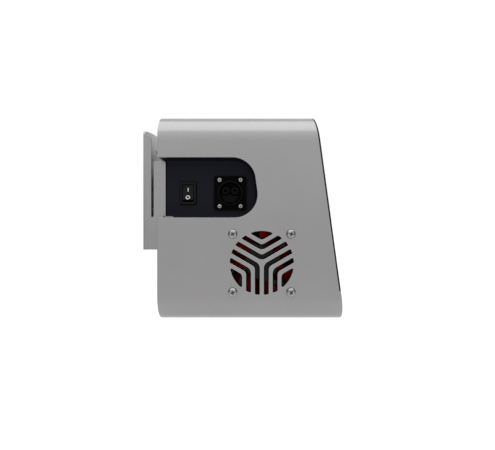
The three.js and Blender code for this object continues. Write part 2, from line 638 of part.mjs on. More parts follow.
function makeInlet() {
  const flangeBack = -PANEL_Y - GAP;
  const at = (y, dx = 0, dz = 0) => [INLET.x + dx, y, PANEL_MIDDLE_Z + dz];
  const flange = plate(rectangle(INLET.wide, INLET.tall, 2.6), INLET.flange, 'near', at(flangeBack));
  const ring = rod(INLET.ring, INLET.deep + INLET.flange + INLET.proud, 'near',
    at(INLET.deep - PANEL_Y - GAP), 12);
  const bore = rod(INLET.bore, WIDTH, 'near', at(0), 12);
  const screwHoles = inletScrewPlaces().map(([x, z]) => rod(1.8, 20, 'near', [x, -PANEL_Y + 5, z], 6));
  add('inlet_shell', 'blackPlastic', cut(join(flange, ring), bore, ...screwHoles));

  // The insert carries two round contact sockets above a curved block.
  const insertFront = -PANEL_Y + 2.5;
  const insertBack = INLET.deep - PANEL_Y - GAP - 2;
  const barrelFront = flangeBack - 1;
  const base = rod(INLET.bore - GAP, insertBack - insertFront, 'near', at(insertBack), 12);
  const tubes = [-1, 1].map((side) =>
    rod(SOCKETS.radius, insertBack - barrelFront, 'near',
      at(insertBack, side * SOCKETS.dx, SOCKETS.dz), 8));
  const block = outline([
    [-6.6, -2.6, 1], [-6.6, -4.6, 1.6], [-4.2, -8.2, 2.4], [4.2, -8.2, 2.4],
    [6.6, -4.6, 1.6], [6.6, -2.6, 1], [2.4, -3.9, 1.5], [-2.4, -3.9, 1.5],
  ]);
  const boat = plate(block, insertBack - barrelFront, 'near', at(insertBack), 3);
  const sockets = [-1, 1].map((side) =>
    rod(SOCKETS.hole, 60, 'near', at(0, side * SOCKETS.dx, SOCKETS.dz), 6));
  add('inlet_insert', 'blackPlastic', cut(join(base, ...tubes, boat), ...sockets));
  [-1, 1].forEach((side, i) => {
    add(`inlet_contact_${i + 1}`, 'brass',
      rod(SOCKETS.contact, 14, 'near', at(insertBack + 6, side * SOCKETS.dx, SOCKETS.dz), 5));
  });
  inletScrewPlaces().forEach(([x, z], i) => {
    add(`inlet_screw_${i + 1}`, 'chrome',
      panScrew(2.3, 1.5, 1.4, 8, 'near', [x, flangeBack - INLET.flange - GAP, z]));
  });
}

// ---- water circuit ----

function makePorts() {
  for (const [name, x] of [['inlet', PORTS.inlet], ['outlet', PORTS.outlet]]) {
    const body = turned([
      [2.5, -4.7], [4.5, -4.7], [4.5, GAP], [9, GAP], [9, 3.3], [4.2, 3.3],
      [4.2, 5], [5.2, 5], [4.1, 8.5], [5.2, 8.5], [4.1, 12], [5.2, 12], [3.8, 16], [2.5, 16],
      [2.5, -4.7],
    ], 'far', [x, PANEL_Y, PORTS.z], 12);
    add(`hose_barb_${name}`, 'brass', body);
  }
}

function hose(name, points) {
  const path = new THREE.CatmullRomCurve3(points.map((point) => new THREE.Vector3(...point)));
  const tube = new THREE.ExtrudeGeometry(disc(HOSE_RADIUS),
    { steps: 18, extrudePath: path, curveSegments: 4, bevelEnabled: false });
  add(name, 'hose', solid(tube));
}

function makePump() {
  const { y, z, radius, backX, frontX } = PUMP;
  const nozzleX = -33;
  const nozzleTop = z + 32;
  const cup = rod(radius, frontX - backX, 'front', [backX, y, z], 12);
  const outlet = rod(NOZZLE.radius, nozzleTop - z, 'up', [nozzleX, y, z], 6);
  const chamber = rod(radius - 3, frontX - backX, 'front', [backX + 3, y, z], 12);
  const shaftHole = rod(2, 20, 'front', [backX - 10, y, z], 5);
  const outletBore = rod(NOZZLE.bore, nozzleTop, 'up', [nozzleX, y, z], 6);
  add('pump_housing', 'blackPlastic', cut(join(cup, outlet), chamber, shaftHole, outletBore));

  const coverX = frontX + GAP;
  const lid = rod(radius, 2.5, 'front', [coverX, y, z], 12);
  const intake = rod(NOZZLE.radius, 15, 'front', [coverX, y, z], 6);
  const intakeBore = rod(NOZZLE.bore, 60, 'front', [coverX - 20, y, z], 6);
  add('pump_lid', 'blackPlastic', cut(join(lid, intake), intakeBore));

  const motorFront = backX - GAP;
  const motorBack = REAR_X + 4;
  const motor = rod(16, motorFront - motorBack, 'front', [motorBack, y, z], 10);
  add('pump_motor', 'zinc', cut(motor, rod(2, 12, 'front', [motorFront - 10, y, z], 5)));

  const hub = rod(4, 12, 'front', [backX + 4, y, z], 6);
  const plateDisc = rod(15, 2, 'front', [backX + 4, y, z], 10);
  const shaft = rod(1.5, 16, 'front', [backX - 8, y, z], 5);
  const vanes = [];
  for (let i = 0; i < 3; i += 1) {
    const vane = new THREE.BoxGeometry(10, 29, 1.6).rotateX(i * Math.PI / 3);
    vanes.push(solid(vane.translate(backX + 10, y, z)));
  }
  add('pump_impeller', 'blackPlastic', join(plateDisc, hub, shaft, ...vanes));
}

function makeHeater() {
  const { y, z, radius, half } = HEATER;
  const shell = rod(radius, 2 * half, 'front', [-half, y, z], 12);
  const nozzles = rod(NOZZLE.radius, 2 * half + 6, 'front', [-half - 3, y, z], 6);
  const channel = rod(NOZZLE.bore, 4 * half, 'front', [-2 * half, y, z], 6);
  const pocket = rod(3, 20, 'up', [10, y, z + radius - 8], 6);
  add('heater_tube', 'zinc', cut(join(shell, nozzles), channel, pocket));
  add('temperature_probe', 'brass', rod(2.7, 20, 'up', [10, y, z + radius - 7], 6));
  const foot = box([-12, -1, 5 + GAP], [8, 21, 5 + GAP + SHEET]);
  const upright = box([-1, -1, 5 + GAP], [1, 21, z - radius - GAP]);
  add('heater_stand', 'zinc', join(foot, upright));
}

function makeHoses() {
  const barbEnd = PANEL_Y - 5.2;
  hose('intake_hose', [
    [PORTS.inlet, barbEnd, PORTS.z], [PORTS.inlet, barbEnd - 3, PORTS.z], [-9.5, 41, 113],
    [-6, 37, 100], [4, 36, 75],
    [10, 32, 50], [5, 28.5, 39], [-3, PUMP.y, PUMP.z], [-8.4, PUMP.y, PUMP.z],
  ]);
  hose('pump_hose', [
    [-33, PUMP.y, PUMP.z + 32.4], [-33, PUMP.y, PUMP.z + 36], [-37, 23, 84], [-44, 15, 94],
    [-42, HEATER.y, HEATER.z], [-32, HEATER.y, HEATER.z], [-28.4, HEATER.y, HEATER.z],
  ]);
  hose('outlet_hose', [
    [28.4, HEATER.y, HEATER.z], [32, HEATER.y, HEATER.z], [41, 14, 107], [38, 24, 118], [18, 34, 126],
    [-12, 36, 129], [-32, 36, 124], [-39, 41, 118.5], [PORTS.outlet, barbEnd - 3, PORTS.z],
    [PORTS.outlet, barbEnd, PORTS.z],
  ]);
}

// ---- power supply ----

function makeSupply() {
  const { rear, front, y, half, under, thick } = SUPPLY;
  add('supply_board', 'board', box([rear, y - half, under], [front, y + half, under + thick]));
  const lift = under + thick + GAP;
  add('supply_transformer', 'zinc', box([-20, -38, lift], [12, -10, lift + 26]));
  add('supply_capacitor', 'blackPlastic', rod(9, 30, 'up', [-40, -24, lift], 8));
  const fins = [0, 1, 2, 3].map((i) => box([20, -38 + 8 * i, lift], [44, -35 + 8 * i, lift + 24]));
  add('supply_heatsink', 'zinc', join(box([20, -38, lift], [44, -11, lift + 4]), ...fins));
}

makeCover();
makeTrays();
makeRearPanel();
makeChassis();
makeBracket();
makeFront();
makeFan();
makeSwitch();
makeInlet();
makePorts();
makePump();
makeHeater();
makeHoses();
makeSupply();

export default circulator;
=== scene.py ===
"""The looks of the sous vide circulator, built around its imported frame.

Outlines are drawn in millimetres, in the frame's axes, and become metres when a mesh is made.
"""

import json
import math

import bmesh
import bpy
from mathutils import Matrix, Vector


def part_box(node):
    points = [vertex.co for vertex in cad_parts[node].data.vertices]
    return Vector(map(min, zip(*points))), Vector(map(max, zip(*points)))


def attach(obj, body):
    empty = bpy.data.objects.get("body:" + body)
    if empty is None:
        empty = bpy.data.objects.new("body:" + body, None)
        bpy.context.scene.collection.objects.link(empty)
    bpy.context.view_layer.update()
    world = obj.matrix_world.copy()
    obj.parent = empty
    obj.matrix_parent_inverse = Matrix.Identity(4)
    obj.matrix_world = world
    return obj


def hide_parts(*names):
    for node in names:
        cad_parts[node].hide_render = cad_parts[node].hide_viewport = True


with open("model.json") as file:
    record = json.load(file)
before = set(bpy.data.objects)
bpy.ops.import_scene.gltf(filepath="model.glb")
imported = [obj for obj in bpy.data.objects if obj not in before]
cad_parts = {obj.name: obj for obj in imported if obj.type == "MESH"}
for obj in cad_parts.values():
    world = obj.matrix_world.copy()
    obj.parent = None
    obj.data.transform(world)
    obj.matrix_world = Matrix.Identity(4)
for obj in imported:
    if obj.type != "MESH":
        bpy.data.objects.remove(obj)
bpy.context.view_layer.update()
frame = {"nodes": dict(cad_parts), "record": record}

MM = 0.001
HEAD = "head"


# ---- driving sizes, in millimetres, read from the frame where it has them ----


def box_mm(node):
    """The low and high corners of a CAD node."""
    low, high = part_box(node)
    return low / MM, high / MM


def middle_of(node):
    return sum(box_mm(node), Vector()) / 2


COVER_LOW, COVER_HIGH = box_mm("cover")
REAR_X = COVER_LOW.x
HALF_WIDTH = COVER_HIGH.y
HEIGHT = COVER_HIGH.z
SHEET = 2.0
GAP = 0.3
CORNER = 24.0
SPARE = 1  # how far a cutter runs past what it cuts
OVERRUN = 40  # the same, for the cutters that shape the cover's section

FRONT_PROUD = 1.2
FRONT_SLOPE = 0.1364
FRONT_FOOT_X = COVER_HIGH.x - FRONT_PROUD
LIP_TOP = box_mm("front_glass")[0].z - GAP

RECESS_LOW, RECESS_HIGH = 91.4, 143.2
RECESS_RADIUS = 20.0
RECESS_BEHIND_FRONT = 59.1
RECESS_STEPS = 28
PANEL_Y = 55.0

FAN_MIDDLE = middle_of("fan_frame")
FAN_SCREW_PITCH = 50.0
FAN_HOLE = 2.2
GRILLE_RADIUS, GRILLE_ARM, GRILLE_SLOT, GRILLE_PITCH = 27.5, 3.7, 4.0, 7.6
GRILLE_END_ROUND, GRILLE_CAP_ROUND, GRILLE_NEAR_ROUND, GRILLE_FAR_ROUND = 0.9, 4.0, 6.0, 3.8

LOUVRE_MIDDLE, LOUVRE_SIZE = Vector((-42, 50)), (4, 42)
LOUVRE_ROUND = LOUVRE_SIZE[0] / 2.05
LOUVRE_PITCH, LOUVRE_COUNT = 9, 6

SIDES = (-1, 1)


def front_at(z):
    """Where the cover's slanted front edge is at a height."""
    return FRONT_FOOT_X - FRONT_SLOPE * z


# ---- mesh making ----

FINENESS = 2.6
STRAY_DISTANCE = 1e-3
FLAT_ANGLE, SOFTENED_ANGLE, HARD_ANGLE = (math.radians(angle) for angle in (0.4, 32, 40))

# Local x, y and outward axes for each way that a piece can face.
FACINGS = {
    "front": ((0, 1, 0), (0, 0, 1), (1, 0, 0)),
    "rear": ((0, -1, 0), (0, 0, 1), (-1, 0, 0)),
    "near": ((1, 0, 0), (0, 0, 1), (0, -1, 0)),
    "far": ((-1, 0, 0), (0, 0, 1), (0, 1, 0)),
    "up": ((1, 0, 0), (0, 1, 0), (0, 0, 1)),
}


def seat(facing, at):
    """The turn and move that takes local axes to a facing direction at a point."""
    turn = Matrix(FACINGS[facing]).transposed().to_4x4()
    return Matrix.Translation(at) @ turn


def outline(corners, fixed_steps=None):
    """Points of an outline through corners, each (x, y) or (x, y, rounding radius)."""
    points = []
    count = len(corners)
    for i, (x, y, *radius) in enumerate(corners):
        corner = Vector((x, y))
        radius = radius[0] if radius else 0
        if not radius:
            points.append(corner)
            continue
        before = (Vector(corners[i - 1][:2]) - corner).normalized()
        after = (Vector(corners[(i + 1) % count][:2]) - corner).normalized()
        half = math.acos(max(-1, min(1, before.dot(after)))) / 2
        middle = corner + (before + after).normalized() * radius / math.sin(half)
        start = corner + before * radius / math.tan(half) - middle
        sweep = (math.pi - 2 * half) * (1 if before.cross(after) < 0 else -1)
        steps = fixed_steps or math.ceil(FINENESS * math.sqrt(radius) * abs(sweep))
        for step in range(steps + 1):
            turned_start = Matrix.Rotation(sweep * step / steps, 2) @ start
            points.append(middle + turned_start)
    return points


def rectangle(wide, tall, radius=0, x=0, y=0, fixed_steps=None):
    a, b = wide / 2, tall / 2
    return outline([
        (x - a, y - b, radius), (x + a, y - b, radius),
        (x + a, y + b, radius), (x - a, y + b, radius),
    ], fixed_steps)


def circle(radius, x=0, y=0, segments=48):
    turns = [2 * math.pi * i / segments for i in range(segments)]
    return [Vector((x + radius * math.cos(t), y + radius * math.sin(t))) for t in turns]


def skin(rings, loop=False):
    """A bmesh over rows of points: capped at both ends, or joined last to first in a loop."""
    bm = bmesh.new()
    rows = [[bm.verts.new(point) for point in ring] for ring in rings]
    for low, high in zip(rows, rows[1:] + (rows[:1] if loop else [])):
        for i in range(len(low)):
            j = (i + 1) % len(low)
            bm.faces.new((low[i], low[j], high[j], high[i]))
    if not loop:
        bm.faces.new(reversed(rows[0]))
        bm.faces.new(rows[-1])
    bmesh.ops.recalc_face_normals(bm, faces=bm.faces)
    return bm


def prism(points, depth, facing, at):
    """A flat outline given a thickness along its facing direction."""
    move = seat(facing, at)
    rings = [[move @ Vector((*point, z)) for point in points] for z in (0, depth)]
    return skin(rings)


def turned_rings(profile, facing, at, segments):
    """A ring of points round a facing axis for each (radius, height) point."""
    move = seat(facing, at)
    return [[move @ Vector((*point, height)) for point in circle(radius, segments=segments)]
            for radius, height in profile]


def turned(profile, facing, at, segments):
    """A turned solid from (radius, height) points; radius 0 only at its two ends."""
    tiny = 1e-3
    profile = [(max(radius, tiny), height) for radius, height in profile]
    bm = skin(turned_rings(profile, facing, at, segments))
    bmesh.ops.remove_doubles(bm, verts=bm.verts, dist=2 * tiny)
    return bm


def ring_tube(profile, facing, at, segments=48):
    """A turned ring from a closed (radius, height) outline that stays off its axis."""
    return skin(turned_rings(profile, facing, at, segments), loop=True)


def merge(*parts):
    """Several bmeshes in one."""
    whole = bmesh.new()
    for part in parts:
        mesh = bpy.data.meshes.new("part")
        part.to_mesh(mesh)
        part.free()
        whole.from_mesh(mesh)
        bpy.data.meshes.remove(mesh)
    return whole


def to_object(name, bm):
    """An object in the scene that holds a bmesh, which is freed."""
    mesh = bpy.data.meshes.new(name)
    bm.to_mesh(mesh)
    bm.free()
    piece = bpy.data.objects.new(name, mesh)
    bpy.context.scene.collection.objects.link(piece)
    return piece


def from_object(piece):
    """A piece's mesh as a bmesh; the object is removed."""
    bm = bmesh.new()
    bm.from_mesh(piece.data)
    bpy.data.objects.remove(piece)
    return bm


def combine(piece, operation, *tools):
    """Joins, cuts or meets a piece, still in millimetres, with each tool."""
    for bm in tools:
        tool = to_object("tool", bm)
        change = piece.modifiers.new("combine", "BOOLEAN")
        change.object = tool
        change.operation = operation
        change.solver = "EXACT"
        graph = bpy.context.evaluated_depsgraph_get()
        mesh = bpy.data.meshes.new_from_object(piece.evaluated_get(graph))
        piece.modifiers.clear()
        piece.data = mesh
        bpy.data.objects.remove(tool)


def tidy(piece):
    """Merges stray points and the flat faces that cutting leaves split."""
    bm = bmesh.new()
    bm.from_mesh(piece.data)
    bmesh.ops.remove_doubles(bm, verts=bm.verts, dist=STRAY_DISTANCE)
    bmesh.ops.dissolve_limit(bm, angle_limit=FLAT_ANGLE, verts=bm.verts, edges=bm.edges)
    bm.to_mesh(piece.data)
    bm.free()


def soften(piece, width):
    """Rounds the edges sharper than an angle and shades the rest smooth. Width in metres."""
    mesh = piece.data
    mesh.shade_smooth()
    mesh.set_sharp_from_angle(angle=SOFTENED_ANGLE)
    bevel = piece.modifiers.new("edges", "BEVEL")
    bevel.width = width
    bevel.segments = 2
    bevel.limit_method = "ANGLE"
    bevel.angle_limit = SOFTENED_ANGLE
    bevel.use_clamp_overlap = True
    bevel.harden_normals = True
    bevel.miter_outer = "MITER_ARC"


def publish(piece, material, replaces=(), edge=0.25, body=HEAD):
    """Takes a piece from millimetres to metres and gives it its body, finish and edges."""
    tidy(piece)
    piece.data.transform(Matrix.Scale(MM, 4))
    piece.data.materials.clear()
    piece.data.materials.append(material)
    if edge:
        soften(piece, edge * MM)
    else:
        piece.data.shade_smooth()
        piece.data.set_sharp_from_angle(angle=HARD_ANGLE)
    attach(piece, body)
    if replaces:
        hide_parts(*replaces)


# ---- materials ----


PATTERN_MIDDLE = (0.3, 0.7)
CLOUD_DETAIL, GRAIN_DETAIL = 4, 2
# How much of the colour's mix the mottling keeps where painted shade is drawn, and the share of
# that painted shade, which darkens the colour with depth.
MOTTLE_SHARE_UNDER_PAINTED_SHADE, PAINTED_SHADE_SHARE = 0.25, 0.75


def set_inputs(tree, node, inputs):
    """Puts a value or a link on each named or numbered input of a node."""
    for socket, value in inputs:
        if isinstance(value, bpy.types.NodeSocket):
            tree.links.new(value, node.inputs[socket])
        else:
            node.inputs[socket].default_value = value


def add_node(tree, kind, inputs=(), **settings):
    node = tree.nodes.new(kind)
    for key, value in settings.items():
        setattr(node, key, value)
    set_inputs(tree, node, inputs)
    return node


def axes(tree, coordinates):
    """The separate X, Y and Z of a kind of coordinates."""
    source = add_node(tree, "ShaderNodeTexCoord").outputs[coordinates]
    split = add_node(tree, "ShaderNodeSeparateXYZ", ((0, source),))
    return split.outputs["X"], split.outputs["Y"], split.outputs["Z"]


def maths(tree, operation, *values):
    return add_node(tree, "ShaderNodeMath", enumerate(values), operation=operation).outputs[0]


def ramp(tree, value, start, end, low, high):
    """A value mapped from one range to another."""
    return add_node(tree, "ShaderNodeMapRange", (
        ("Value", value), ("From Min", start), ("From Max", end), ("To Min", low),
        ("To Max", high))).outputs["Result"]


def noise(tree, scale, detail, stretch):
    """Noise at a number of cells per metre, stretched along the axes."""
    place = add_node(tree, "ShaderNodeTexCoord").outputs["Object"]
    mapping = add_node(tree, "ShaderNodeMapping", (("Vector", place), ("Scale", stretch)))
    return add_node(tree, "ShaderNodeTexNoise", (
        ("Vector", mapping.outputs["Vector"]), ("Scale", scale), ("Detail", detail),
    )).outputs["Fac"]


def tint(tree, share, dark, light):
    """Mixes two colours by a pattern."""
    mix = add_node(tree, "ShaderNodeMix", (("Factor", share),), data_type="RGBA")
    sockets = [socket for socket in mix.inputs if socket.type == "RGBA"]
    for socket, colour in zip(sockets, (dark, light)):
        socket.default_value = (*(colour if isinstance(colour, tuple) else [colour] * 3), 1)
    return next(socket for socket in mix.outputs if socket.type == "RGBA")


def surface(name, dark, light, rough, mottle, grain, metallic=0.0, depth=2e-6,
            stretch=(1, 1, 1), specular=0.5, shade_painted_along_y=None):
    """A finish whose colour, roughness and relief all vary a little with place.

    A colour is three values, or one for a grey. Where two places along Y are given, the
    colour darkens from the first to the second: painted shade, deeper parts drawn as if less lit.
    """
    material = bpy.data.materials.new(name)
    material.use_nodes = True
    tree = material.node_tree
    cloud = noise(tree, mottle, CLOUD_DETAIL, stretch)
    fine = noise(tree, grain, GRAIN_DETAIL, stretch)
    shade = ramp(tree, cloud, *PATTERN_MIDDLE, 0, MOTTLE_SHARE_UNDER_PAINTED_SHADE if shade_painted_along_y else 1)
    if shade_painted_along_y:
        # Painted shade: the colour drawn darker along Y, deeper in, as if less light reached
        # there.
        y = axes(tree, "Object")[1]
        shade = maths(tree, "ADD", shade, ramp(tree, y, *shade_painted_along_y, PAINTED_SHADE_SHARE, 0))
    bump = add_node(
        tree, "ShaderNodeBump", (("Height", fine), ("Distance", depth), ("Strength", 1.0)))
    set_inputs(tree, tree.nodes["Principled BSDF"], (
        ("Metallic", metallic), ("Specular IOR Level", specular),
        ("Base Color", tint(tree, shade, dark, light)),
        ("Roughness", ramp(tree, fine, *PATTERN_MIDDLE, *rough)),
        ("Normal", bump.outputs["Normal"]),
    ))
    return material


COVER_PAINT = surface(
    "cover_paint", (0.298, 0.292, 0.294), (0.308, 0.302, 0.304), (0.23, 0.28),
    metallic=0.85, mottle=35, grain=3200, depth=6e-7)
DARK_PAINT = surface(
    "dark_paint", (0.0076, 0.0084, 0.0146), (0.0090, 0.0098, 0.0168), (0.34, 0.44),
    mottle=80, grain=2600, specular=0.08)
BLACK_PLASTIC = surface(
    "black_plastic", (0.0030, 0.0030, 0.0033), (0.0044, 0.0044, 0.0048), (0.32, 0.42),
    mottle=120, grain=4200, depth=3e-6, specular=0.2)
INLET_PLASTIC = surface(
    "inlet_plastic", 0.0014, 0.0020, (0.34, 0.44), mottle=150, grain=5000, specular=0.02)
SOCKET_PLASTIC = surface(
    "socket_plastic", (0.0036, 0.0036, 0.0038), (0.0046, 0.0046, 0.0048), (0.34, 0.44),
    mottle=150, grain=5000, specular=0.04)
CONTACT_METAL = surface(
    "contact_metal", (0.004, 0.003, 0.002), (0.006, 0.0045, 0.003), (0.4, 0.5), metallic=1.0,
    mottle=300, grain=3000, depth=1e-6)
SWITCH_PLASTIC = surface(
    "switch_plastic", (0.0064, 0.0063, 0.0065), (0.0080, 0.0079, 0.0081), (0.3, 0.38),
    mottle=150, grain=5000, specular=0.1)
FAN_PLASTIC = surface(
    "fan_plastic", (0.0070, 0.0070, 0.0080), (0.0092, 0.0092, 0.0104), (0.34, 0.44),
    mottle=120, grain=4000, specular=0.1)
# The red is drawn darker towards the back of the fan: painted shade on the deeper parts of the
# blades.
RED_PLASTIC = surface(
    "red_plastic", (0.006, 0.0001, 0.0001), (0.14, 0.0009, 0.0011), (0.3, 0.38),
    mottle=60, grain=1200, depth=1e-6, specular=0.02, shade_painted_along_y=(-0.0705, -0.0625))
GLASS = surface(
    "front_glass", (0.002, 0.002, 0.0022), (0.003, 0.003, 0.0033), (0.03, 0.05),
    mottle=15, grain=300, depth=2e-7, specular=0.3)
CHROME = surface(
    "chrome", (0.30, 0.30, 0.305), (0.34, 0.34, 0.345), (0.07, 0.11), metallic=1.0,
    mottle=300, grain=6000, depth=5e-7)
ZINC = surface(
    "zinc", (0.30, 0.31, 0.32), (0.40, 0.41, 0.42), (0.3, 0.42), metallic=1.0,
    mottle=180, grain=1200)
STEEL = surface(
    "brushed_steel", (0.46, 0.45, 0.43), (0.56, 0.55, 0.53), (0.22, 0.4), metallic=1.0,
    mottle=60, grain=900, depth=3e-6, stretch=(0.05, 1, 1))
BRASS = surface(
    "brass", (0.52, 0.33, 0.11), (0.60, 0.40, 0.15), (0.16, 0.26), metallic=1.0,
    mottle=200, grain=1600, depth=1.5e-6, stretch=(1, 6, 1))
BOARD = surface(
    "board", (0.008, 0.045, 0.022), (0.014, 0.075, 0.036), (0.25, 0.35),
    mottle=400, grain=2000, depth=4e-6)
HOSE = surface(
    "hose", (0.52, 0.52, 0.49), (0.62, 0.62, 0.59), (0.35, 0.45),
    mottle=80, grain=1500, depth=3e-6)
WHITE = surface(
    "white_mark", 0.76, 0.84, (0.4, 0.5), mottle=300, grain=3000, depth=1e-6)


# ---- shared shapes ----


def front_layer(start, end, low, high):
    """A slab parallel to the slanted front, between two distances from the cover's edge."""
    half_width = HALF_WIDTH + 50
    shape = [Vector((front_at(z) + x, z))
             for x, z in ((start, low), (end, low), (end, high), (start, high))]
    return prism(shape, 2 * half_width, "near", (0, half_width, 0))


def section_bar(inset, rear, front):
    """The box's section, drawn in from its outer surface, as a long bar."""
    shape = rectangle(
        2 * (HALF_WIDTH - inset), HEIGHT - 2 * inset, CORNER - inset, 0, HEIGHT / 2)
    return prism(shape, front - rear, "front", (rear, 0, 0))


def recess_outline(grow, rear):
    """The side recess in side view, grown outwards by an amount, from a rear edge forwards."""
    low, high = RECESS_LOW - grow, RECESS_HIGH + grow
    radius = RECESS_RADIUS + grow
    reach = grow - RECESS_BEHIND_FRONT
    return outline([
        (rear, low), (front_at(low) + reach, low, radius),
        (front_at(high) + reach, high, radius), (rear, high),
    ], fixed_steps=RECESS_STEPS)


def slab(shape, side, low, high):
    """A side-view outline as a solid between two distances from the middle plane."""
    return prism(shape, high - low, "near", (0, -low if side < 0 else high, 0))


def block(low, high):
    """A box between two corners."""
    wide, long, tall = (b - a for a, b in zip(low, high))
    x, y, _ = ((a + b) / 2 for a, b in zip(low, high))
    return prism(rectangle(wide, long, 0, x, y), tall, "up", (0, 0, low[2]))


def corner_places(x, z, wide, tall):
    """Four places in a rectangle round a middle."""
    a, b = wide / 2, tall / 2
    return [(x - a, z + b), (x + a, z + b), (x + a, z - b), (x - a, z - b)]


def fan_screw_places():
    return corner_places(FAN_MIDDLE.x, FAN_MIDDLE.z, FAN_SCREW_PITCH, FAN_SCREW_PITCH)


def fan_screw_holes(depth, back):
    """Bars for the fan's screws, from a place towards the near side."""
    return [prism(circle(FAN_HOLE, x, z, 24), depth, "near", back)
            for x, z in fan_screw_places()]


# ---- cover ----


def grille_slots(inset):
    """Outlines of one sector's slots around the grille's middle, each drawn in by an amount."""
    radius = GRILLE_RADIUS - inset
    along = Vector((math.cos(math.pi / 6), math.sin(math.pi / 6)))
    across = Vector((-along.y, along.x))

    def on_rim(offset):
        return across * offset + along * math.sqrt(radius**2 - offset**2)

    def tip(offset):
        return offset / math.cos(math.pi / 6)

    end_round = GRILLE_END_ROUND - inset
    shapes = []
    for row in range(2):
        near = GRILLE_ARM / 2 + row * GRILLE_PITCH + inset
        far = near + GRILLE_SLOT - 2 * inset
        a, b = on_rim(near), on_rim(far)
        shapes.append([
            (a.x, a.y, end_round), (b.x, b.y, end_round),
            (0, tip(far), GRILLE_FAR_ROUND + inset),
            (-b.x, b.y, end_round), (-a.x, a.y, end_round),
            (0, tip(near), GRILLE_NEAR_ROUND - inset),
        ])
    cap = GRILLE_ARM / 2 + 2 * GRILLE_PITCH + inset
    end = on_rim(cap)
    first = math.atan2(end.y, end.x)
    steps = 10
    rim = []
    for i in range(1, steps):
        angle = first + (math.pi - 2 * first) * i / steps
        rim.append((radius * math.cos(angle), radius * math.sin(angle)))
    shapes.append([
        (end.x, end.y, end_round), *rim, (-end.x, end.y, end_round),
        (0, tip(cap), GRILLE_CAP_ROUND - inset),
    ])
    return shapes


NEAR_WALL_BACK = (0, 2 * SHEET - HALF_WIDTH, 0)


def grille_cutters(inset, back):
    """Bars that cut the grille's slots, from a place towards the near side."""
    cutters = []
    for sector in range(3):
        turn = Matrix.Rotation(sector * 2 * math.pi / 3, 2)
        for corners in grille_slots(inset):
            moved = []
            for x, y, *radius in corners:
                point = turn @ Vector((x, y))
                moved.append((point.x + FAN_MIDDLE.x, point.y + FAN_MIDDLE.z, *radius))
            cutters.append(prism(outline(moved), back[1] + 2 * HALF_WIDTH, "near", back))
    return cutters


def rear_corner_blend():
    """What is taken off the cover where its rear edge meets the top of a recess."""
    radius, spare = 1.5, 0.01
    x, z = REAR_X, RECESS_HIGH
    return outline([
        (x - 1, z - 1), (x + radius + spare, z - 1), (x + radius + spare, z), (x, z, radius),
        (x, z + radius + spare), (x - 1, z + radius + spare),
    ])


def make_cover():
    """One folded sheet, open at the rear, with its front lip, side recesses and openings."""
    front = FRONT_FOOT_X + OVERRUN
    cover = to_object("cover_shell", section_bar(0, REAR_X, front))
    lip = to_object("lip", front_layer(FRONT_PROUD - SHEET, FRONT_PROUD, -OVERRUN, LIP_TOP))
    combine(lip, "INTERSECT", section_bar(0, REAR_X, front))
    combine(
        cover, "DIFFERENCE",
        section_bar(SHEET, REAR_X - OVERRUN, FRONT_FOOT_X + 2 * OVERRUN),
        front_layer(0, 3 * OVERRUN, LIP_TOP, HEIGHT + OVERRUN),
        front_layer(FRONT_PROUD, 3 * OVERRUN, -OVERRUN, HEIGHT),
    )
    combine(cover, "UNION", from_object(lip))
    for shape in (recess_outline(0, REAR_X - OVERRUN), rear_corner_blend()):
        cuts = [slab(shape, side, PANEL_Y, 2 * HALF_WIDTH) for side in SIDES]
        combine(cover, "DIFFERENCE", *cuts)
    cutters = grille_cutters(0, NEAR_WALL_BACK) + fan_screw_holes(3 * SHEET, NEAR_WALL_BACK)
    for i in range(LOUVRE_COUNT):
        x = LOUVRE_MIDDLE.x + LOUVRE_PITCH * (i - (LOUVRE_COUNT - 1) / 2)
        slot = rectangle(*LOUVRE_SIZE, LOUVRE_ROUND, x, LOUVRE_MIDDLE.y)
        cutters.append(prism(slot, 3 * SHEET, "near", (0, HALF_WIDTH + SHEET, 0)))
    combine(cover, "DIFFERENCE", merge(*cutters))
    publish(cover, COVER_PAINT, ["cover"], edge=0.3)


# ---- recessed panels ----

TRAY_WALL = 1.5
TRAY_FOLD = 2.4
PANEL_MIDDLE_Z = 113.5
BRACKET_HALF = PANEL_Y + GAP + SHEET
FLANGE_BACK = PANEL_Y + GAP  # the back of the switch's and the inlet's flanges

SWITCH_X = middle_of("switch_housing").x
SWITCH_BODY = (13.0, 19.2)
INLET_X = middle_of("inlet_shell").x
INLET_RING = 11.5
INLET_SCREWS = (19.0, 24.0)
INLET_HOLE = 1.8
PORT_HOLE = 6.5
PORT_PLACES = [middle_of(f"hose_barb_{name}") for name in ("inlet", "outlet")]


def inlet_screw_places():
    return corner_places(INLET_X, PANEL_MIDDLE_Z, *INLET_SCREWS)


def tray_hollow(side, rear, top):
    """The space in a recess: its walls run into the panel by a rounded fold."""
    steps = 7
    rows = []
    for i in range(steps + 1):
        turn = math.pi / 2 * i / steps
        rows.append((GAP - TRAY_FOLD * (1 - math.sin(turn)), TRAY_FOLD * (1 - math.cos(turn))))
    rows.append((GAP, top - PANEL_Y))
    return skin([
        [Vector((x, side * (PANEL_Y + height), z)) for x, z in recess_outline(grow, rear)]
        for grow, height in rows
    ])


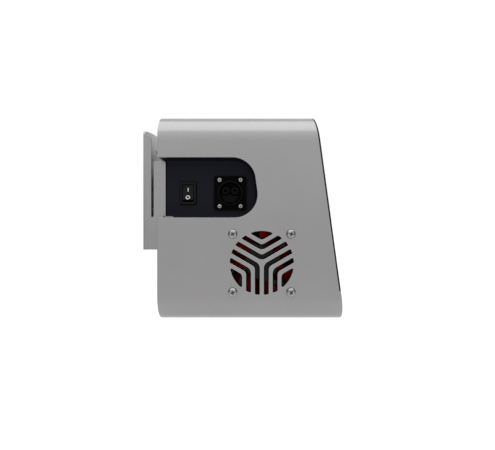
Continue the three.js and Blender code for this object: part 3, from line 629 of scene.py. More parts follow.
def make_tray(name, node, side, holes):
    """A recess's walls and panel, open at the rear, with a slot for the bracket's side."""
    rear = box_mm(node)[0].x
    back, outer = PANEL_Y - SHEET, HALF_WIDTH - SHEET - GAP
    tray = to_object(name, slab(recess_outline(GAP + TRAY_WALL, rear), side, back, outer))
    slot_front = box_mm("rear_bracket")[1].x + GAP
    slot_half_tall = 3
    across = sorted((side * PANEL_Y, side * (BRACKET_HALF + GAP)))
    bracket_slot = block(
        (rear - SPARE, across[0], RECESS_LOW - slot_half_tall),
        (slot_front, across[1], RECESS_LOW + slot_half_tall))
    cuts = [slab(hole, side, back - SPARE, PANEL_Y + SPARE) for hole in holes]
    hollow = tray_hollow(side, rear - SPARE, outer + SPARE)
    combine(tray, "DIFFERENCE", hollow, bracket_slot, *cuts)
    publish(tray, DARK_PAINT, [node], edge=0.2)


def make_trays():
    switch_hole = rectangle(
        SWITCH_BODY[0] + 2 * GAP, SWITCH_BODY[1] + 2 * GAP, 0, SWITCH_X, PANEL_MIDDLE_Z)
    inlet_hole = circle(INLET_RING + GAP, INLET_X, PANEL_MIDDLE_Z, 64)
    screw_holes = [circle(INLET_HOLE, x, z, 24) for x, z in inlet_screw_places()]
    make_tray("switch_tray", "switch_panel", -1, [switch_hole, inlet_hole, *screw_holes])
    port_holes = [circle(PORT_HOLE, p.x, p.z, 48) for p in PORT_PLACES]
    make_tray("hose_tray", "hose_panel", 1, port_holes)


# ---- rear bracket ----

BRACKET_REAR_CORNER, BRACKET_FRONT_CORNER = box_mm("rear_bracket")
BACK_X, BRACKET_LOW = BRACKET_REAR_CORNER.x, BRACKET_REAR_CORNER.z
BRACKET_FRONT_X, BRACKET_CROWN = BRACKET_FRONT_CORNER.x, BRACKET_FRONT_CORNER.z
RIM_X, RIM_TOP, SHOULDER = -82.6, 165.7, 170.5
SHOULDER_INSET, SHOULDER_BULGE = 5.3, 0.6
TAB_X = (-80.3, -69.6)
TAB_Z = (92.6, 142.5)
SIDE_ROUND, TAB_ROUND = 2, 1
RELIEF_RADIUS = 0.7
RELIEF_PLACES = (RIM_X + 0.9, TAB_X[1] - 1.2)
BRACKET_SCREW_X = -66.5
BRACKET_SCREW_Z = (70, 84)
BRACKET_HOLE = 1.9
WALL_HOLES = [(y, z) for y in (-40, 40) for z in (75, 150)]
WALL_HOLE = 2.25
FOLD, INNER_FOLD = 1.1, 0.6


def bracket_profile():
    """The bracket seen from above: a back with two sides folded forwards."""
    half, inner = BRACKET_HALF, BRACKET_HALF - SHEET
    return outline([
        (BRACKET_FRONT_X, -half), (BRACKET_FRONT_X, -inner), (BACK_X + SHEET, -inner, INNER_FOLD),
        (BACK_X + SHEET, inner, INNER_FOLD), (BRACKET_FRONT_X, inner), (BRACKET_FRONT_X, half),
        (BACK_X, half, FOLD), (BACK_X, -half, FOLD),
    ], fixed_steps=6)


def bracket_side():
    """The bracket seen from the side, with the back standing taller than the folded sides."""
    tab_rear, tab_front = TAB_X
    tab_low, tab_high = TAB_Z
    return outline([
        (BACK_X - SPARE, BRACKET_LOW), (BRACKET_FRONT_X, BRACKET_LOW, SIDE_ROUND),
        (BRACKET_FRONT_X, tab_low, SIDE_ROUND), (tab_front, tab_low),
        (tab_front, tab_high, TAB_ROUND), (tab_rear, tab_high, TAB_ROUND), (tab_rear, tab_low),
        (RIM_X, tab_low), (RIM_X, RIM_TOP, SIDE_ROUND), (BACK_X + SHEET, RIM_TOP),
        (BACK_X + SHEET, BRACKET_CROWN + SPARE), (BACK_X - SPARE, BRACKET_CROWN + SPARE),
    ])


def curve_point(start, pull, end, t):
    """A point of a quadratic curve."""
    return (1 - t)**2 * start + 2 * t * (1 - t) * pull + t * t * end


def bracket_back():
    """The bracket seen from behind, with its arched top between two rounded shoulders."""
    half = BRACKET_HALF
    shoulder_y = half - SHOULDER_INSET
    rise = BRACKET_CROWN - SHOULDER
    radius = (shoulder_y**2 + rise**2) / (2 * rise)
    lean = math.asin(shoulder_y / radius)
    points = [(half + SPARE, BRACKET_LOW - SPARE), (half + SPARE, RIM_TOP), (half, RIM_TOP)]
    shoulder_steps, arch_steps = 8, 24
    for i in range(1, shoulder_steps):
        t = i / shoulder_steps
        points.append((
            curve_point(half, half, shoulder_y, t),
            curve_point(RIM_TOP, SHOULDER - SHOULDER_BULGE, SHOULDER, t),
        ))
    arch = []
    for i in range(arch_steps + 1):
        angle = math.pi / 2 - lean + 2 * lean * i / arch_steps
        arch.append((radius * math.cos(angle), BRACKET_CROWN - radius * (1 - math.sin(angle))))
    mirrored = [(-y, z) for y, z in reversed(points)]
    return [Vector(point) for point in (*points, *arch, *mirrored)]


def make_bracket():
    """A folded sheet with upright tabs, relief holes at its bends, and its screw holes."""
    tall = BRACKET_CROWN - BRACKET_LOW
    bracket = to_object(
        "bracket_sheet", prism(bracket_profile(), tall, "up", (0, 0, BRACKET_LOW)))
    combine(
        bracket, "INTERSECT",
        slab(bracket_side(), 1, -2 * HALF_WIDTH, 2 * HALF_WIDTH),
        prism(bracket_back(), 60, "front", (BACK_X - 10, 0, 0)),
    )
    across = [(RELIEF_RADIUS, x, TAB_Z[0] - RELIEF_RADIUS / 2, 20) for x in RELIEF_PLACES]
    across += [(BRACKET_HOLE, BRACKET_SCREW_X, z, 24) for z in BRACKET_SCREW_Z]
    holes = [prism(circle(*hole), 2 * HALF_WIDTH, "near", (0, HALF_WIDTH, 0)) for hole in across]
    holes += [prism(circle(WALL_HOLE, y, z, 32), 3 * SHEET, "front", (BACK_X - SHEET, 0, 0))
              for y, z in WALL_HOLES]
    combine(bracket, "DIFFERENCE", merge(*holes))
    publish(bracket, COVER_PAINT, ["rear_bracket"], edge=0.3)


# ---- screws ----


# Head radius and height, then shank radius and length.
FAN_SCREW = (4.0, 2.8, 1.9, 12)
INLET_SCREW = (2.3, 1.5, 1.4, 8)
REAR_SCREW = (2.9, 3, 1.5, 9)
BRACKET_SCREW = (3, 2.4, 1.5, 8)

# How far each screw's cross is turned, and what is added for each set.
SCREW_TURNS = (0.5, 1.2, 0.9, 0.25)
INLET_TURN, REAR_TURN, BRACKET_TURN = 0.4, 0.7, 0.2


def screw_profile(radius, height, shank_radius, shank_length):
    """Half of a pan-head screw's section, from the shank's end to the crown."""
    rim, rounding, crown = 0.12, 0.74 * height, height * 0.94
    steps = 7
    profile = [
        (0, -shank_length), (shank_radius * 0.6, -shank_length),
        (shank_radius, 1 - shank_length), (shank_radius, 0), (radius - rim, 0), (radius, rim),
    ]
    for i in range(steps + 1):
        angle = math.pi / 2 * i / steps
        profile.append((
            radius - rounding * (1 - math.cos(angle)),
            crown - rounding * (1 - math.sin(angle)),
        ))
    return profile + [(radius * 0.35, height * 0.985), (0, height)]


def cross_recess(radius, height, turn, move):
    """A four-armed cutter that narrows inwards."""
    arm, reach, sunk = 0.115 * radius, 0.54 * radius, 0.8 * height
    inner = arm * 1.25
    cross = []
    for quarter in range(4):
        corner = Matrix.Rotation(turn + quarter * math.pi / 2, 2)
        points = (reach, -arm), (reach, arm), (inner, inner)
        cross += [corner @ Vector(point) for point in points]
    return skin([
        [move @ Vector((*(point * share), level)) for point in cross]
        for share, level in ((0.15, height - sunk), (1.0, height), (1.2, height + 0.5))
    ])


def pan_screw(node, size, facing, at, turn):
    """A pan-head screw in place of a CAD screw, its cross recess turned by an angle."""
    screw = to_object(f"{node}_head", turned(screw_profile(*size), facing, at, 56))
    combine(screw, "DIFFERENCE", cross_recess(*size[:2], turn, seat(facing, at)))
    publish(screw, CHROME, [node], edge=0.08)


def make_screws():
    for i, (x, z) in enumerate(fan_screw_places()):
        at = (x, -HALF_WIDTH - GAP, z)
        pan_screw(f"fan_screw_{i + 1}", FAN_SCREW, "near", at, SCREW_TURNS[i])
    flange = box_mm("inlet_screw_1")[0].y + INLET_SCREW[1]
    for i, (x, z) in enumerate(inlet_screw_places()):
        turn = SCREW_TURNS[i] + INLET_TURN
        pan_screw(f"inlet_screw_{i + 1}", INLET_SCREW, "near", (x, flange, z), turn)
    for i, turn in enumerate(SCREW_TURNS):
        node = f"rear_screw_{i + 1}"
        middle = middle_of(node)
        at = (REAR_X - GAP, middle.y, middle.z)
        pan_screw(node, REAR_SCREW, "rear", at, turn + REAR_TURN)
        node = f"bracket_screw_{i + 1}"
        middle = middle_of(node)
        side, facing = (-1, "near") if middle.y < 0 else (1, "far")
        at = (BRACKET_SCREW_X, side * (BRACKET_HALF + GAP), middle.z)
        pan_screw(node, BRACKET_SCREW, facing, at, turn + BRACKET_TURN)


# ---- front glass ----

GLASS_SEAT = 0.25


def make_glass():
    low = box_mm("front_glass")[0]
    glass = to_object("glass_sheet", front_layer(GLASS_SEAT, FRONT_PROUD, low.z, HEIGHT))
    combine(glass, "INTERSECT", section_bar(0, REAR_X, FRONT_FOOT_X + OVERRUN))
    publish(glass, GLASS, ["front_glass"], edge=0.12)


# ---- fan ----

FAN_FACE = box_mm("fan_frame")[0].y
FAN_HALF = box_mm("fan_frame")[1].x - FAN_MIDDLE.x
FAN_CORNER = 4
FAN_DEEP = 15.0
FAN_BORE = 28.6
FAN_HUB = 14.7
BEARING_RADIUS = BEARING_REACH = 1.6
# A thin dark sheet behind the grille stands in for the shade round its slots: its thickness, its
# gap to the struts, and how far its border shows.
SHADE_SHEET_THICK, SHADE_SHEET_GAP, SHADE_SHEET_BORDER = 0.6, 0.1, 0.7
STRUT_DEEP, STRUT_WIDE, STRUT_OFFSET = 3.0, 3.1, 12.3
STRUT_COUNT, FIRST_STRUT = 4, 72
BEHIND_FAN = (0, FAN_FACE + 2 * FAN_DEEP, 0)


def fan_square(thick, back):
    square = rectangle(2 * FAN_HALF, 2 * FAN_HALF, FAN_CORNER, FAN_MIDDLE.x, FAN_MIDDLE.z)
    return prism(square, thick, "near", (0, back, 0))


def fan_hub():
    """The disc in the middle of the fan's front, with a softened rim."""
    edge, front, rounding = STRUT_DEEP - 1.1, STRUT_DEEP - 0.7, 0.6
    return turned(
        [(0, 0), (FAN_HUB, 0), (FAN_HUB, edge), (FAN_HUB - rounding, front), (0, front)],
        "near", (FAN_MIDDLE.x, FAN_FACE + STRUT_DEEP, FAN_MIDDLE.z), 72)


def fan_strut(degrees):
    """A straight bar that passes beside the fan's middle and runs out to its bore."""
    turn = Matrix.Rotation(math.radians(degrees), 2)
    wide, reach = STRUT_WIDE / 2, math.sqrt((FAN_BORE + 1)**2 - STRUT_OFFSET**2)
    middle = Vector((FAN_MIDDLE.x, FAN_MIDDLE.z))
    corners = [turn @ Vector((along, across - STRUT_OFFSET)) + middle
               for along, across in ((0, -wide), (reach, -wide), (reach, wide), (0, wide))]
    thick = STRUT_DEEP - SHADE_SHEET_THICK - SHADE_SHEET_GAP
    return prism(corners, thick, "near", (0, FAN_FACE + STRUT_DEEP, 0))


def make_fan_housing():
    """The fan's square housing, with its hub on four slanting struts."""
    housing = to_object("fan_housing", fan_square(FAN_DEEP - SHADE_SHEET_THICK, FAN_FACE + FAN_DEEP))
    middle = (FAN_MIDDLE.x, FAN_MIDDLE.z)
    bore = prism(circle(FAN_BORE, *middle, 96), 3 * FAN_DEEP, "near", BEHIND_FAN)
    combine(housing, "DIFFERENCE", bore, merge(*fan_screw_holes(3 * FAN_DEEP, BEHIND_FAN)))
    combine(housing, "UNION", fan_hub())
    for i in range(STRUT_COUNT):
        combine(housing, "UNION", fan_strut(FIRST_STRUT + 360 // STRUT_COUNT * i))
    bearing = prism(circle(BEARING_RADIUS, *middle, 24), FAN_DEEP, "near",
                    (0, FAN_FACE + FAN_DEEP + BEARING_REACH, 0))
    combine(housing, "DIFFERENCE", bearing)
    publish(housing, FAN_PLASTIC, ["fan_frame"], edge=0.2)


def make_fan_shade_sheet():
    """A thin black sheet between cover and fan, its slots a little smaller than the grille's: its
    border shows black round each slot, a dark sheet standing in for the shade at the slots'
    edges.
    """
    mask = to_object("fan_shade_sheet", fan_square(SHADE_SHEET_THICK, FAN_FACE + SHADE_SHEET_THICK))
    holes = fan_screw_holes(3 * FAN_DEEP, BEHIND_FAN)
    combine(mask, "DIFFERENCE", merge(*holes, *grille_cutters(SHADE_SHEET_BORDER, BEHIND_FAN)))
    publish(mask, INLET_PLASTIC, edge=0)


BLADE_COUNT = 7
BLADE_EDGE = math.radians(94)
BLADE_THICK = 1.1
BLADE_SPANS, BLADE_CHORDS = 7, 12


def blade(front_angle, deep, hub_radius, tip_radius, move):
    """A curved blade from hub to tip that sinks away from its front edge."""
    rings = []
    for i in range(BLADE_SPANS + 1):
        share = i / BLADE_SPANS
        radius = hub_radius - 1 + share * (tip_radius - hub_radius + 1)
        sweep = math.radians(50 - 5 * share)
        upper, lower = [], []
        for j in range(BLADE_CHORDS + 1):
            along = j / BLADE_CHORDS
            angle = front_angle - sweep * along - 0.10 * (1 - share) * along
            drop = 0.35 * along + 0.65 * along**1.6
            level = (deep - 0.6) - (deep - 2.2) * drop
            half_thick = BLADE_THICK / 2 * math.sqrt(max(0.06, 1 - (2 * along - 1)**4))
            for rows, shift in ((upper, half_thick), (lower, -half_thick)):
                height = min(deep - 0.2, max(0.2, level + shift))
                rows.append(move @ Vector((
                    radius * math.cos(angle), radius * math.sin(angle), height)))
        rings.append(upper + lower[::-1])
    return skin(rings)


def make_impeller():
    """The red rotor: a domed hub and seven wide blades that overlap in front view."""
    low, high = box_mm("fan_impeller")
    deep = high.y - low.y - 2
    hub_radius, tip_radius = FAN_HUB - 0.5, FAN_BORE - 0.9
    shaft_radius, shaft_reach = 1.2, 2
    at = (FAN_MIDDLE.x, low.y + deep, FAN_MIDDLE.z)
    rotor = to_object("fan_rotor_blades", turned([
        (0, -shaft_reach), (shaft_radius, -shaft_reach), (shaft_radius, 0), (hub_radius, 0),
        (hub_radius, deep - 1), (hub_radius - 0.3, deep - 0.3), (hub_radius - 1, deep), (0, deep),
    ], "near", at, 72))
    move = seat("near", at)
    for i in range(BLADE_COUNT):
        front_angle = BLADE_EDGE + i * 2 * math.pi / BLADE_COUNT
        combine(rotor, "UNION", blade(front_angle, deep, hub_radius, tip_radius, move))
    publish(rotor, RED_PLASTIC, ["fan_impeller"], edge=0.12, body="fan_rotor")


# ---- rocker switch ----

SWITCH_LOW, SWITCH_HIGH = box_mm("switch_housing")
SWITCH_WIDE, SWITCH_TALL = SWITCH_HIGH.x - SWITCH_LOW.x, SWITCH_HIGH.z - SWITCH_LOW.z
SWITCH_MIDDLE = (SWITCH_X, PANEL_MIDDLE_Z)
BODY_ROUND = 0.6
# A dark ring under the switch's rim stands in for the shadow gap round it: its thickness, how far
# it shows past the rim, and its rounding.
SHADE_RING_THICK, SHADE_RING_BORDER, SHADE_RING_ROUND = 0.7, 0.5, 1.0
BEZEL_BEVEL, BEZEL_ROUND = 0.35, 0.7
MOUTH_STEP, MOUTH_STEP_DEEP = 0.55, 0.8
ROCKER_WIDE, ROCKER_REACH, ROCKER_FACE, ROCKER_BELOW = 9.6, 7.6, 2.0, 3.0
ROCKER_LEAN = math.radians(12)
ROCKER_PIVOT = Vector((SWITCH_X, -54.5, PANEL_MIDDLE_Z))
PIN_RADIUS, PIN_HOLE = 1, 1.4
PIN_REACH, PIN_HOLE_REACH = ROCKER_WIDE / 2 + 1.1, 6.3
MARK_RAISE = 0.08
ON_MARK, ON_MARK_AT = (0.8, 3.4, 0.35), 2.8  # width, height and rounding; distance out
OFF_MARK, OFF_MARK_AT = (1.25, 1.95), 4.7  # inner and outer radius; distance out


def rocker_seat():
    """Side-view axes of the rocker, x outwards and y up, turned to its pressed-in rest."""
    basis = Matrix(((0, -1, 0), (0, 0, 1), (-1, 0, 0))).transposed().to_4x4()
    return Matrix.Translation(ROCKER_PIVOT) @ Matrix.Rotation(-ROCKER_LEAN, 4, "X") @ basis


def placed(bm, move):
    bmesh.ops.transform(bm, matrix=move, verts=bm.verts)
    return bm


def bezel_rim():
    """The switch's raised rim, rounded towards its face."""
    face = SWITCH_LOW.y
    rows = []
    for inset, y in ((0, -FLANGE_BACK - SHADE_RING_THICK), (0, face + BEZEL_BEVEL),
                     (BEZEL_BEVEL * 0.3, face + BEZEL_BEVEL * 0.3), (BEZEL_BEVEL, face)):
        half_wide = SWITCH_WIDE / 2 - SHADE_RING_BORDER - inset
        half_tall = SWITCH_TALL / 2 - SHADE_RING_BORDER - inset
        rounding = BEZEL_ROUND - inset * 0.5
        shape = rectangle(2 * half_wide, 2 * half_tall, rounding, fixed_steps=5)
        rows.append([Vector((SWITCH_X + p.x, y, PANEL_MIDDLE_Z + p.y)) for p in shape])
    return skin(rows)


def make_switch_housing():
    """Rim and body in one, with a stepped mouth and holes for the rocker's pins."""
    housing = to_object("switch_bezel", bezel_rim())
    body = rectangle(*SWITCH_BODY, BODY_ROUND, *SWITCH_MIDDLE)
    combine(housing, "UNION", slab(body, -1, -SWITCH_HIGH.y, PANEL_Y + 1.2))
    wide, tall = ROCKER_WIDE + 2 * GAP, 2 * (ROCKER_REACH + GAP)
    deep = slab(rectangle(wide, tall, 0.3, *SWITCH_MIDDLE), -1, PANEL_Y - 9, PANEL_Y + 9)
    step = slab(
        rectangle(wide + 2 * MOUTH_STEP, tall + 2 * MOUTH_STEP, 0.5, *SWITCH_MIDDLE), -1,
        -SWITCH_LOW.y - MOUTH_STEP_DEEP, -SWITCH_LOW.y + SPARE)
    pins = prism(circle(PIN_HOLE, ROCKER_PIVOT.y, ROCKER_PIVOT.z, 24), 2 * PIN_HOLE_REACH,
                 "front", (SWITCH_X - PIN_HOLE_REACH, 0, 0))
    combine(housing, "DIFFERENCE", deep, step, pins)
    publish(housing, SWITCH_PLASTIC, ["switch_housing"], edge=0.15)


def make_switch_shade_ring():
    """A dark ring between the switch's rim and the panel, a little wider than the rim: a dark
    sheet standing in for the shadow gap round the rim.
    """
    ring = rectangle(SWITCH_WIDE, SWITCH_TALL, SHADE_RING_ROUND, *SWITCH_MIDDLE)
    gasket = to_object(
        "switch_shade_ring", slab(ring, -1, FLANGE_BACK, FLANGE_BACK + SHADE_RING_THICK))
    play = 0.1
    hole = rectangle(
        SWITCH_BODY[0] + play, SWITCH_BODY[1] + play, BODY_ROUND, *SWITCH_MIDDLE)
    combine(gasket, "DIFFERENCE", slab(hole, -1, PANEL_Y - 1, PANEL_Y + 3))
    publish(gasket, INLET_PLASTIC, edge=0.1)


def rocker_tip_angle():
    return math.acos(ROCKER_FACE * math.cos(ROCKER_LEAN) / ROCKER_REACH) - ROCKER_LEAN


def make_rocker():
    """The rocker: two faces that meet in a valley, ends that follow its turn, and its pins."""
    end = rocker_tip_angle()
    bottom = math.acos(-ROCKER_BELOW / ROCKER_REACH)
    steps = 10
    arc = [end + (bottom - end) * i / steps for i in range(steps + 1)]
    upper = [Vector((ROCKER_REACH * math.cos(a), ROCKER_REACH * math.sin(a))) for a in arc]
    lower = [Vector((p.x, -p.y)) for p in reversed(upper)]
    profile = [Vector((ROCKER_FACE, 0)), *upper, *lower]
    rings = [[Vector((*p, z)) for p in profile] for z in (-ROCKER_WIDE / 2, ROCKER_WIDE / 2)]
    rocker = to_object("rocker_button", placed(skin(rings), rocker_seat()))
    pin = [[Vector((*p, z)) for p in circle(PIN_RADIUS, segments=24)]
           for z in (-PIN_REACH, PIN_REACH)]
    combine(rocker, "UNION", placed(skin(pin), rocker_seat()))
    publish(rocker, SWITCH_PLASTIC, ["switch_rocker"], edge=0.3, body="rocker")


def on_mark():
    return prism(rectangle(*ON_MARK), 2 * MARK_RAISE, "up", (0, 0, -MARK_RAISE))


def off_mark():
    inner, outer = OFF_MARK
    return ring_tube([
        (inner, -MARK_RAISE), (outer, -MARK_RAISE), (outer, MARK_RAISE), (inner, MARK_RAISE),
    ], "up", (0, 0, 0))


def make_marks():
    """A bar on the rocker's upper face and a ring on its lower one."""
    end = rocker_tip_angle()
    tip = Vector((ROCKER_REACH * math.cos(end), ROCKER_REACH * math.sin(end)))
    valley = Vector((ROCKER_FACE, 0))
    for shape, flip, distance in ((on_mark, 1, ON_MARK_AT), (off_mark, -1, OFF_MARK_AT)):
        along = Vector((tip.x - valley.x, flip * (tip.y - valley.y))).normalized()
        out = Vector((abs(along.y), -along.x * flip))
        middle = valley + along * distance
        face_seat = Matrix((
            (0, along.x, out.x, middle.x), (0, along.y, out.y, middle.y),
            (-1, 0, 0, 0), (0, 0, 0, 1)))
        mark = to_object(shape.__name__, placed(placed(shape(), face_seat), rocker_seat()))
        publish(mark, WHITE, edge=0.03, body="rocker")


# ---- power inlet ----

INLET_LOW, INLET_HIGH = box_mm("inlet_shell")
INLET_MIDDLE = (INLET_X, PANEL_MIDDLE_Z)
INLET_BORE, INLET_PROUD, INLET_FLANGE, INLET_DEEP = 9.8, 3.0, 2.0, 15.0
FLANGE_ROUND, COLLAR_ROUND, COLLAR_PLAY = 2.8, 0.5, 0.02
CORE_FRONT = PANEL_Y - 2.5
CORE_BACK = PANEL_Y + GAP + 2 - INLET_DEEP
KEY_FRONT = PANEL_Y + GAP + 1
SOCKET_X, SOCKET_Z, SOCKET_RADIUS, SOCKET_HOLE = 4.2, 2.3, 3.3, 1.5
DIMPLE_RADIUS, DIMPLE_DEEP = 0.42, 0.8


def make_inlet_flange():
    """The square flange, with its round hole and four screw holes."""
    square = rectangle(
        INLET_HIGH.x - INLET_LOW.x, INLET_HIGH.z - INLET_LOW.z, FLANGE_ROUND, *INLET_MIDDLE)
    flange = to_object("inlet_flange", slab(square, -1, FLANGE_BACK, INLET_FLANGE + FLANGE_BACK))
    holes = [slab(circle(INLET_HOLE, x, z, 24), -1, PANEL_Y - 5, PANEL_Y + 9)
             for x, z in inlet_screw_places()]
    bore = slab(circle(INLET_RING + COLLAR_PLAY, *INLET_MIDDLE, 96), -1, 0, 2 * HALF_WIDTH)
    combine(flange, "DIFFERENCE", bore, *holes)
    publish(flange, INLET_PLASTIC, ["inlet_shell"], edge=0.22)


def make_inlet_collar():
    """The round shroud that stands out of the flange, with a rounded outer rim."""
    reach = INLET_DEEP + INLET_FLANGE + INLET_PROUD
    collar = to_object("inlet_collar", ring_tube([
        (INLET_BORE, 0), (INLET_RING, 0), (INLET_RING, reach - COLLAR_ROUND),
        (INLET_RING - COLLAR_ROUND * 0.3, reach - COLLAR_ROUND * 0.3),
        (INLET_RING - COLLAR_ROUND, reach), (INLET_BORE, reach),
    ], "near", (INLET_X, INLET_DEEP - PANEL_Y - GAP, PANEL_MIDDLE_Z), 96))
    publish(collar, SOCKET_PLASTIC, edge=0.15)


def make_inlet_sockets():
    """The core that closes the shroud, and a round socket over each of its two holes."""
    places = [(INLET_X + side * SOCKET_X, PANEL_MIDDLE_Z + SOCKET_Z) for side in SIDES]
    core = to_object("inlet_core", slab(
        circle(INLET_BORE - GAP, *INLET_MIDDLE, 96), -1, CORE_BACK, CORE_FRONT))
    combine(core, "DIFFERENCE", merge(*(
        slab(circle(SOCKET_HOLE, *place, 32), -1, 0, 2 * HALF_WIDTH) for place in places)))
    publish(core, INLET_PLASTIC, ["inlet_insert"], edge=0.18)
    length = KEY_FRONT - CORE_FRONT
    for number, (x, z) in enumerate(places, 1):
        socket = to_object(f"inlet_socket_{number}", ring_tube([
            (SOCKET_HOLE, 0), (SOCKET_RADIUS, 0), (SOCKET_RADIUS, length), (SOCKET_HOLE, length),
        ], "near", (x, -CORE_FRONT, z)))
        publish(socket, SOCKET_PLASTIC, edge=0.15)


def make_inlet_key():
    """The boat-shaped block below the sockets, peaked between them, with four dimples."""
    boat = outline([
        (INLET_X + x, PANEL_MIDDLE_Z + z, radius) for x, z, radius in (
            (-7.2, -2.3, 1), (-7.2, -4.3, 1.6), (-4.4, -8.4, 2.6), (4.4, -8.4, 2.6),
            (7.2, -4.3, 1.6), (7.2, -2.3, 1), (2.2, -2.3, 1.4), (0, -0.9, 1.0), (-2.2, -2.3, 1.4))
    ])
    key = to_object("inlet_key", slab(boat, -1, CORE_FRONT, KEY_FRONT))
    combine(key, "DIFFERENCE", merge(*(
        slab(circle(DIMPLE_RADIUS, INLET_X + x, PANEL_MIDDLE_Z + z, 16), -1,
             KEY_FRONT - DIMPLE_DEEP, KEY_FRONT + SPARE)
        for x, z in ((0, -2.9), (-5.2, -5.0), (5.2, -5.0), (0, -7.2)))))
    publish(key, SOCKET_PLASTIC, edge=0.12)


# ---- hose barbs ----

NUT_HOLE = 5


def barb_profile():
    """The barb's section: a stem through the panel, a collar, and three tapering ridges."""
    bore, ridge, land = 2.5, 5.2, 0.25
    profile = [(bore, -4.7), (4.5, -4.7), (4.5, GAP), (6, GAP), (6, 3.3), (4.2, 3.3), (4.2, 5)]
    for start, end, radius in ((5, 8.5, 4.1), (8.5, 12, 4.1), (12, 16, 3.8)):
        profile += [(ridge, start), (ridge, start + land), (radius, end)]
    return profile + [(bore, end)]


def hex_nut(at):
    """A six-sided nut with a chamfered front and a hole for the barb's stem."""
    nut = to_object("nut", skin([
        [seat("far", at) @ Vector((*p, level)) for p in circle(size, segments=6)]
        for size, level in ((9, GAP), (9, 2.6), (8.4, 3.3))
    ]))
    hole = slab(circle(NUT_HOLE, at[0], at[2], 48), 1, PANEL_Y - 2, PANEL_Y + 20)
    combine(nut, "DIFFERENCE", hole)
    return from_object(nut)


def make_barbs():
    for name, place in zip(("inlet", "outlet"), PORT_PLACES):
        at = (place.x, PANEL_Y, place.z)
        barb = to_object(f"{name}_barb", ring_tube(barb_profile(), "far", at, 64))
        combine(barb, "UNION", hex_nut(at))
        publish(barb, BRASS, [f"hose_barb_{name}"], edge=0.12)


make_cover()
make_trays()
make_bracket()
make_screws()
make_glass()
make_fan_housing()
make_fan_shade_sheet()
make_impeller()
make_switch_housing()
make_switch_shade_ring()
make_rocker()
make_marks()
make_inlet_flange()
make_inlet_collar()
make_inlet_sockets()
make_inlet_key()
make_barbs()


# ---- the rest of the frame, with its own finishes ----

FINISHES = {
    "cover": COVER_PAINT, "dark_panel": DARK_PAINT, "black_plastic": BLACK_PLASTIC,
    "front_glass": GLASS, "chrome": CHROME, "zinc": ZINC, "heater_steel": STEEL,
    "red_plastic": RED_PLASTIC, "board": BOARD, "brass": BRASS, "hose": HOSE,
}
OWN_FINISH = {"inlet_contact_1": CONTACT_METAL, "inlet_contact_2": CONTACT_METAL}
CARRIED_EDGE = 0.2
CARRIED_FLAT_ANGLE = math.radians(0.5)


def carry_nodes():
    """Gives every CAD node that still shows its finish and softened edges."""
    slots = {row["node"]: row["material_slot"] for row in frame["record"]["subparts"]}
    for name, node in frame["nodes"].items():
        if node.hide_render:
            continue
        node.data.materials.clear()
        node.data.materials.append(OWN_FINISH.get(name, FINISHES[slots[name]]))
        flat = node.modifiers.new("flat", "DECIMATE")
        flat.decimate_type = "DISSOLVE"
        flat.angle_limit = CARRIED_FLAT_ANGLE
        soften(node, CARRIED_EDGE * MM)


carry_nodes()


# ---- floor, light and camera ----

# A ramp's start and end, in metres or as part of a direction, and its two values.
FLOOR_SIZE, FLOOR_THICK = 24000, 10
FLOOR_SEEN = 0.93
FLAG_SPREAD = 0.4
FLOOR_FLAG_RAMP = (0.12, 0.20, 1.0, 0.08)
FLOOR_BESIDE_RAMP = (-0.07, 0.03, 0.0, 0.95)
FLOOR_GLOW_RAMPS = ((-0.3, -0.08, 0.70, 0.77), (-0.05, 0.0, 1.0, 1.2), (0.01, 0.05, 1.0, 0.65))
WORLD_SEEN = 1.0
WORLD_FLAG_RAMP = (0.56, 0.74, 1.0, 0.02)
WORLD_BESIDE_RAMP = (-0.22, -0.1, 0.0, 1.0)
WORLD_HEIGHT_RAMP = (0.0, 0.75, 0.975, 1.40)
WORLD_BEHIND_RAMP = (0.25, 0.4, 1.0, 0.7)


def seen_or_lit(tree, seen, lit):
    """One value for what the picture shows, another for the light that reaches the object."""
    path = add_node(tree, "ShaderNodeLightPath").outputs["Is Camera Ray"]
    mix = add_node(tree, "ShaderNodeMix", (("Factor", path), ("A", lit), ("B", seen)))
    return mix.outputs[0]


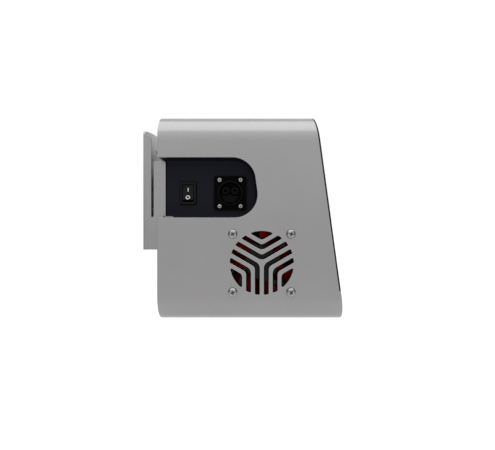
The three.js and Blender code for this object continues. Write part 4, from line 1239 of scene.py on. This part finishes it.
def make_floor():
    """A pale glowing floor, dark only ahead on each side, where the studio's flags stand."""
    floor = to_object("floor", prism(
        rectangle(FLOOR_SIZE, FLOOR_SIZE), FLOOR_THICK, "up", (0, 0, -GAP - FLOOR_THICK)))
    floor.data.transform(Matrix.Scale(MM, 4))
    material = surface("floor", 0.13, 0.15, (0.75, 0.85), mottle=3, grain=200, specular=0.1)
    tree = material.node_tree
    x, y, _ = axes(tree, "Object")
    sideways = maths(tree, "ABSOLUTE", x)
    inwards = maths(tree, "ADD", y, HALF_WIDTH * MM)
    in_front = maths(tree, "MINIMUM", inwards, 0.0)
    spreading = maths(tree, "MULTIPLY_ADD", in_front, FLAG_SPREAD, sideways)
    flags = ramp(tree, spreading, *FLOOR_FLAG_RAMP)
    glow = maths(tree, "MAXIMUM", flags, ramp(tree, inwards, *FLOOR_BESIDE_RAMP))
    for steps in FLOOR_GLOW_RAMPS:
        glow = maths(tree, "MULTIPLY", glow, ramp(tree, inwards, *steps))
    set_inputs(tree, tree.nodes["Principled BSDF"], (
        ("Emission Color", (1, 1, 1, 1)),
        ("Emission Strength", seen_or_lit(tree, FLOOR_SEEN, glow)),
    ))
    floor.data.materials.append(material)


def make_world():
    """A studio with a dark flag ahead on each side, brighter high up, with a white backdrop."""
    world = bpy.data.worlds.new("studio")
    bpy.context.scene.world = world
    world.use_nodes = True
    tree = world.node_tree
    x, y, z = axes(tree, "Generated")
    flags = ramp(tree, maths(tree, "ABSOLUTE", x), *WORLD_FLAG_RAMP)
    flags = maths(tree, "MAXIMUM", flags, ramp(tree, y, *WORLD_BESIDE_RAMP))
    shade = maths(tree, "MULTIPLY", flags, ramp(tree, z, *WORLD_HEIGHT_RAMP))
    steep_behind = maths(tree, "MULTIPLY", y, z)
    shade = maths(tree, "MULTIPLY", shade, ramp(tree, steep_behind, *WORLD_BEHIND_RAMP))
    set_inputs(tree, tree.nodes["Background"], (
        ("Color", (1, 1, 1, 1)), ("Strength", seen_or_lit(tree, WORLD_SEEN, shade)),
    ))


def make_light():
    """A wide lamp above and ahead of the object that shines straight down."""
    data = bpy.data.lights.new("overhead", "AREA")
    data.shape = "RECTANGLE"
    data.size, data.size_y = 3.0, 1.7
    data.energy = 14
    light = bpy.data.objects.new("overhead", data)
    light.location = (0, -0.3, 1.7)
    bpy.context.scene.collection.objects.link(light)


CAMERA_DISTANCE = 0.324  # from the near side face
SENSOR_MM = 36.0
FRAME_WIDTH = 495
FOCAL_SHARE = 376.9 / FRAME_WIDTH
SHIFT = (5.2 / FRAME_WIDTH, -7.0 / FRAME_WIDTH)


def make_camera():
    data = bpy.data.cameras.new("camera")
    data.sensor_width = SENSOR_MM
    data.lens = SENSOR_MM * FOCAL_SHARE
    data.shift_x, data.shift_y = SHIFT
    data.clip_start = 0.01
    camera = bpy.data.objects.new("camera", data)
    camera.location = (0, -HALF_WIDTH * MM - CAMERA_DISTANCE, HEIGHT / 2 * MM)
    camera.rotation_euler = (math.pi / 2, 0, 0)
    bpy.context.scene.collection.objects.link(camera)
    bpy.context.scene.camera = camera


make_floor()
make_world()
make_light()
make_camera()
bpy.context.scene.view_settings.view_transform = "Standard"
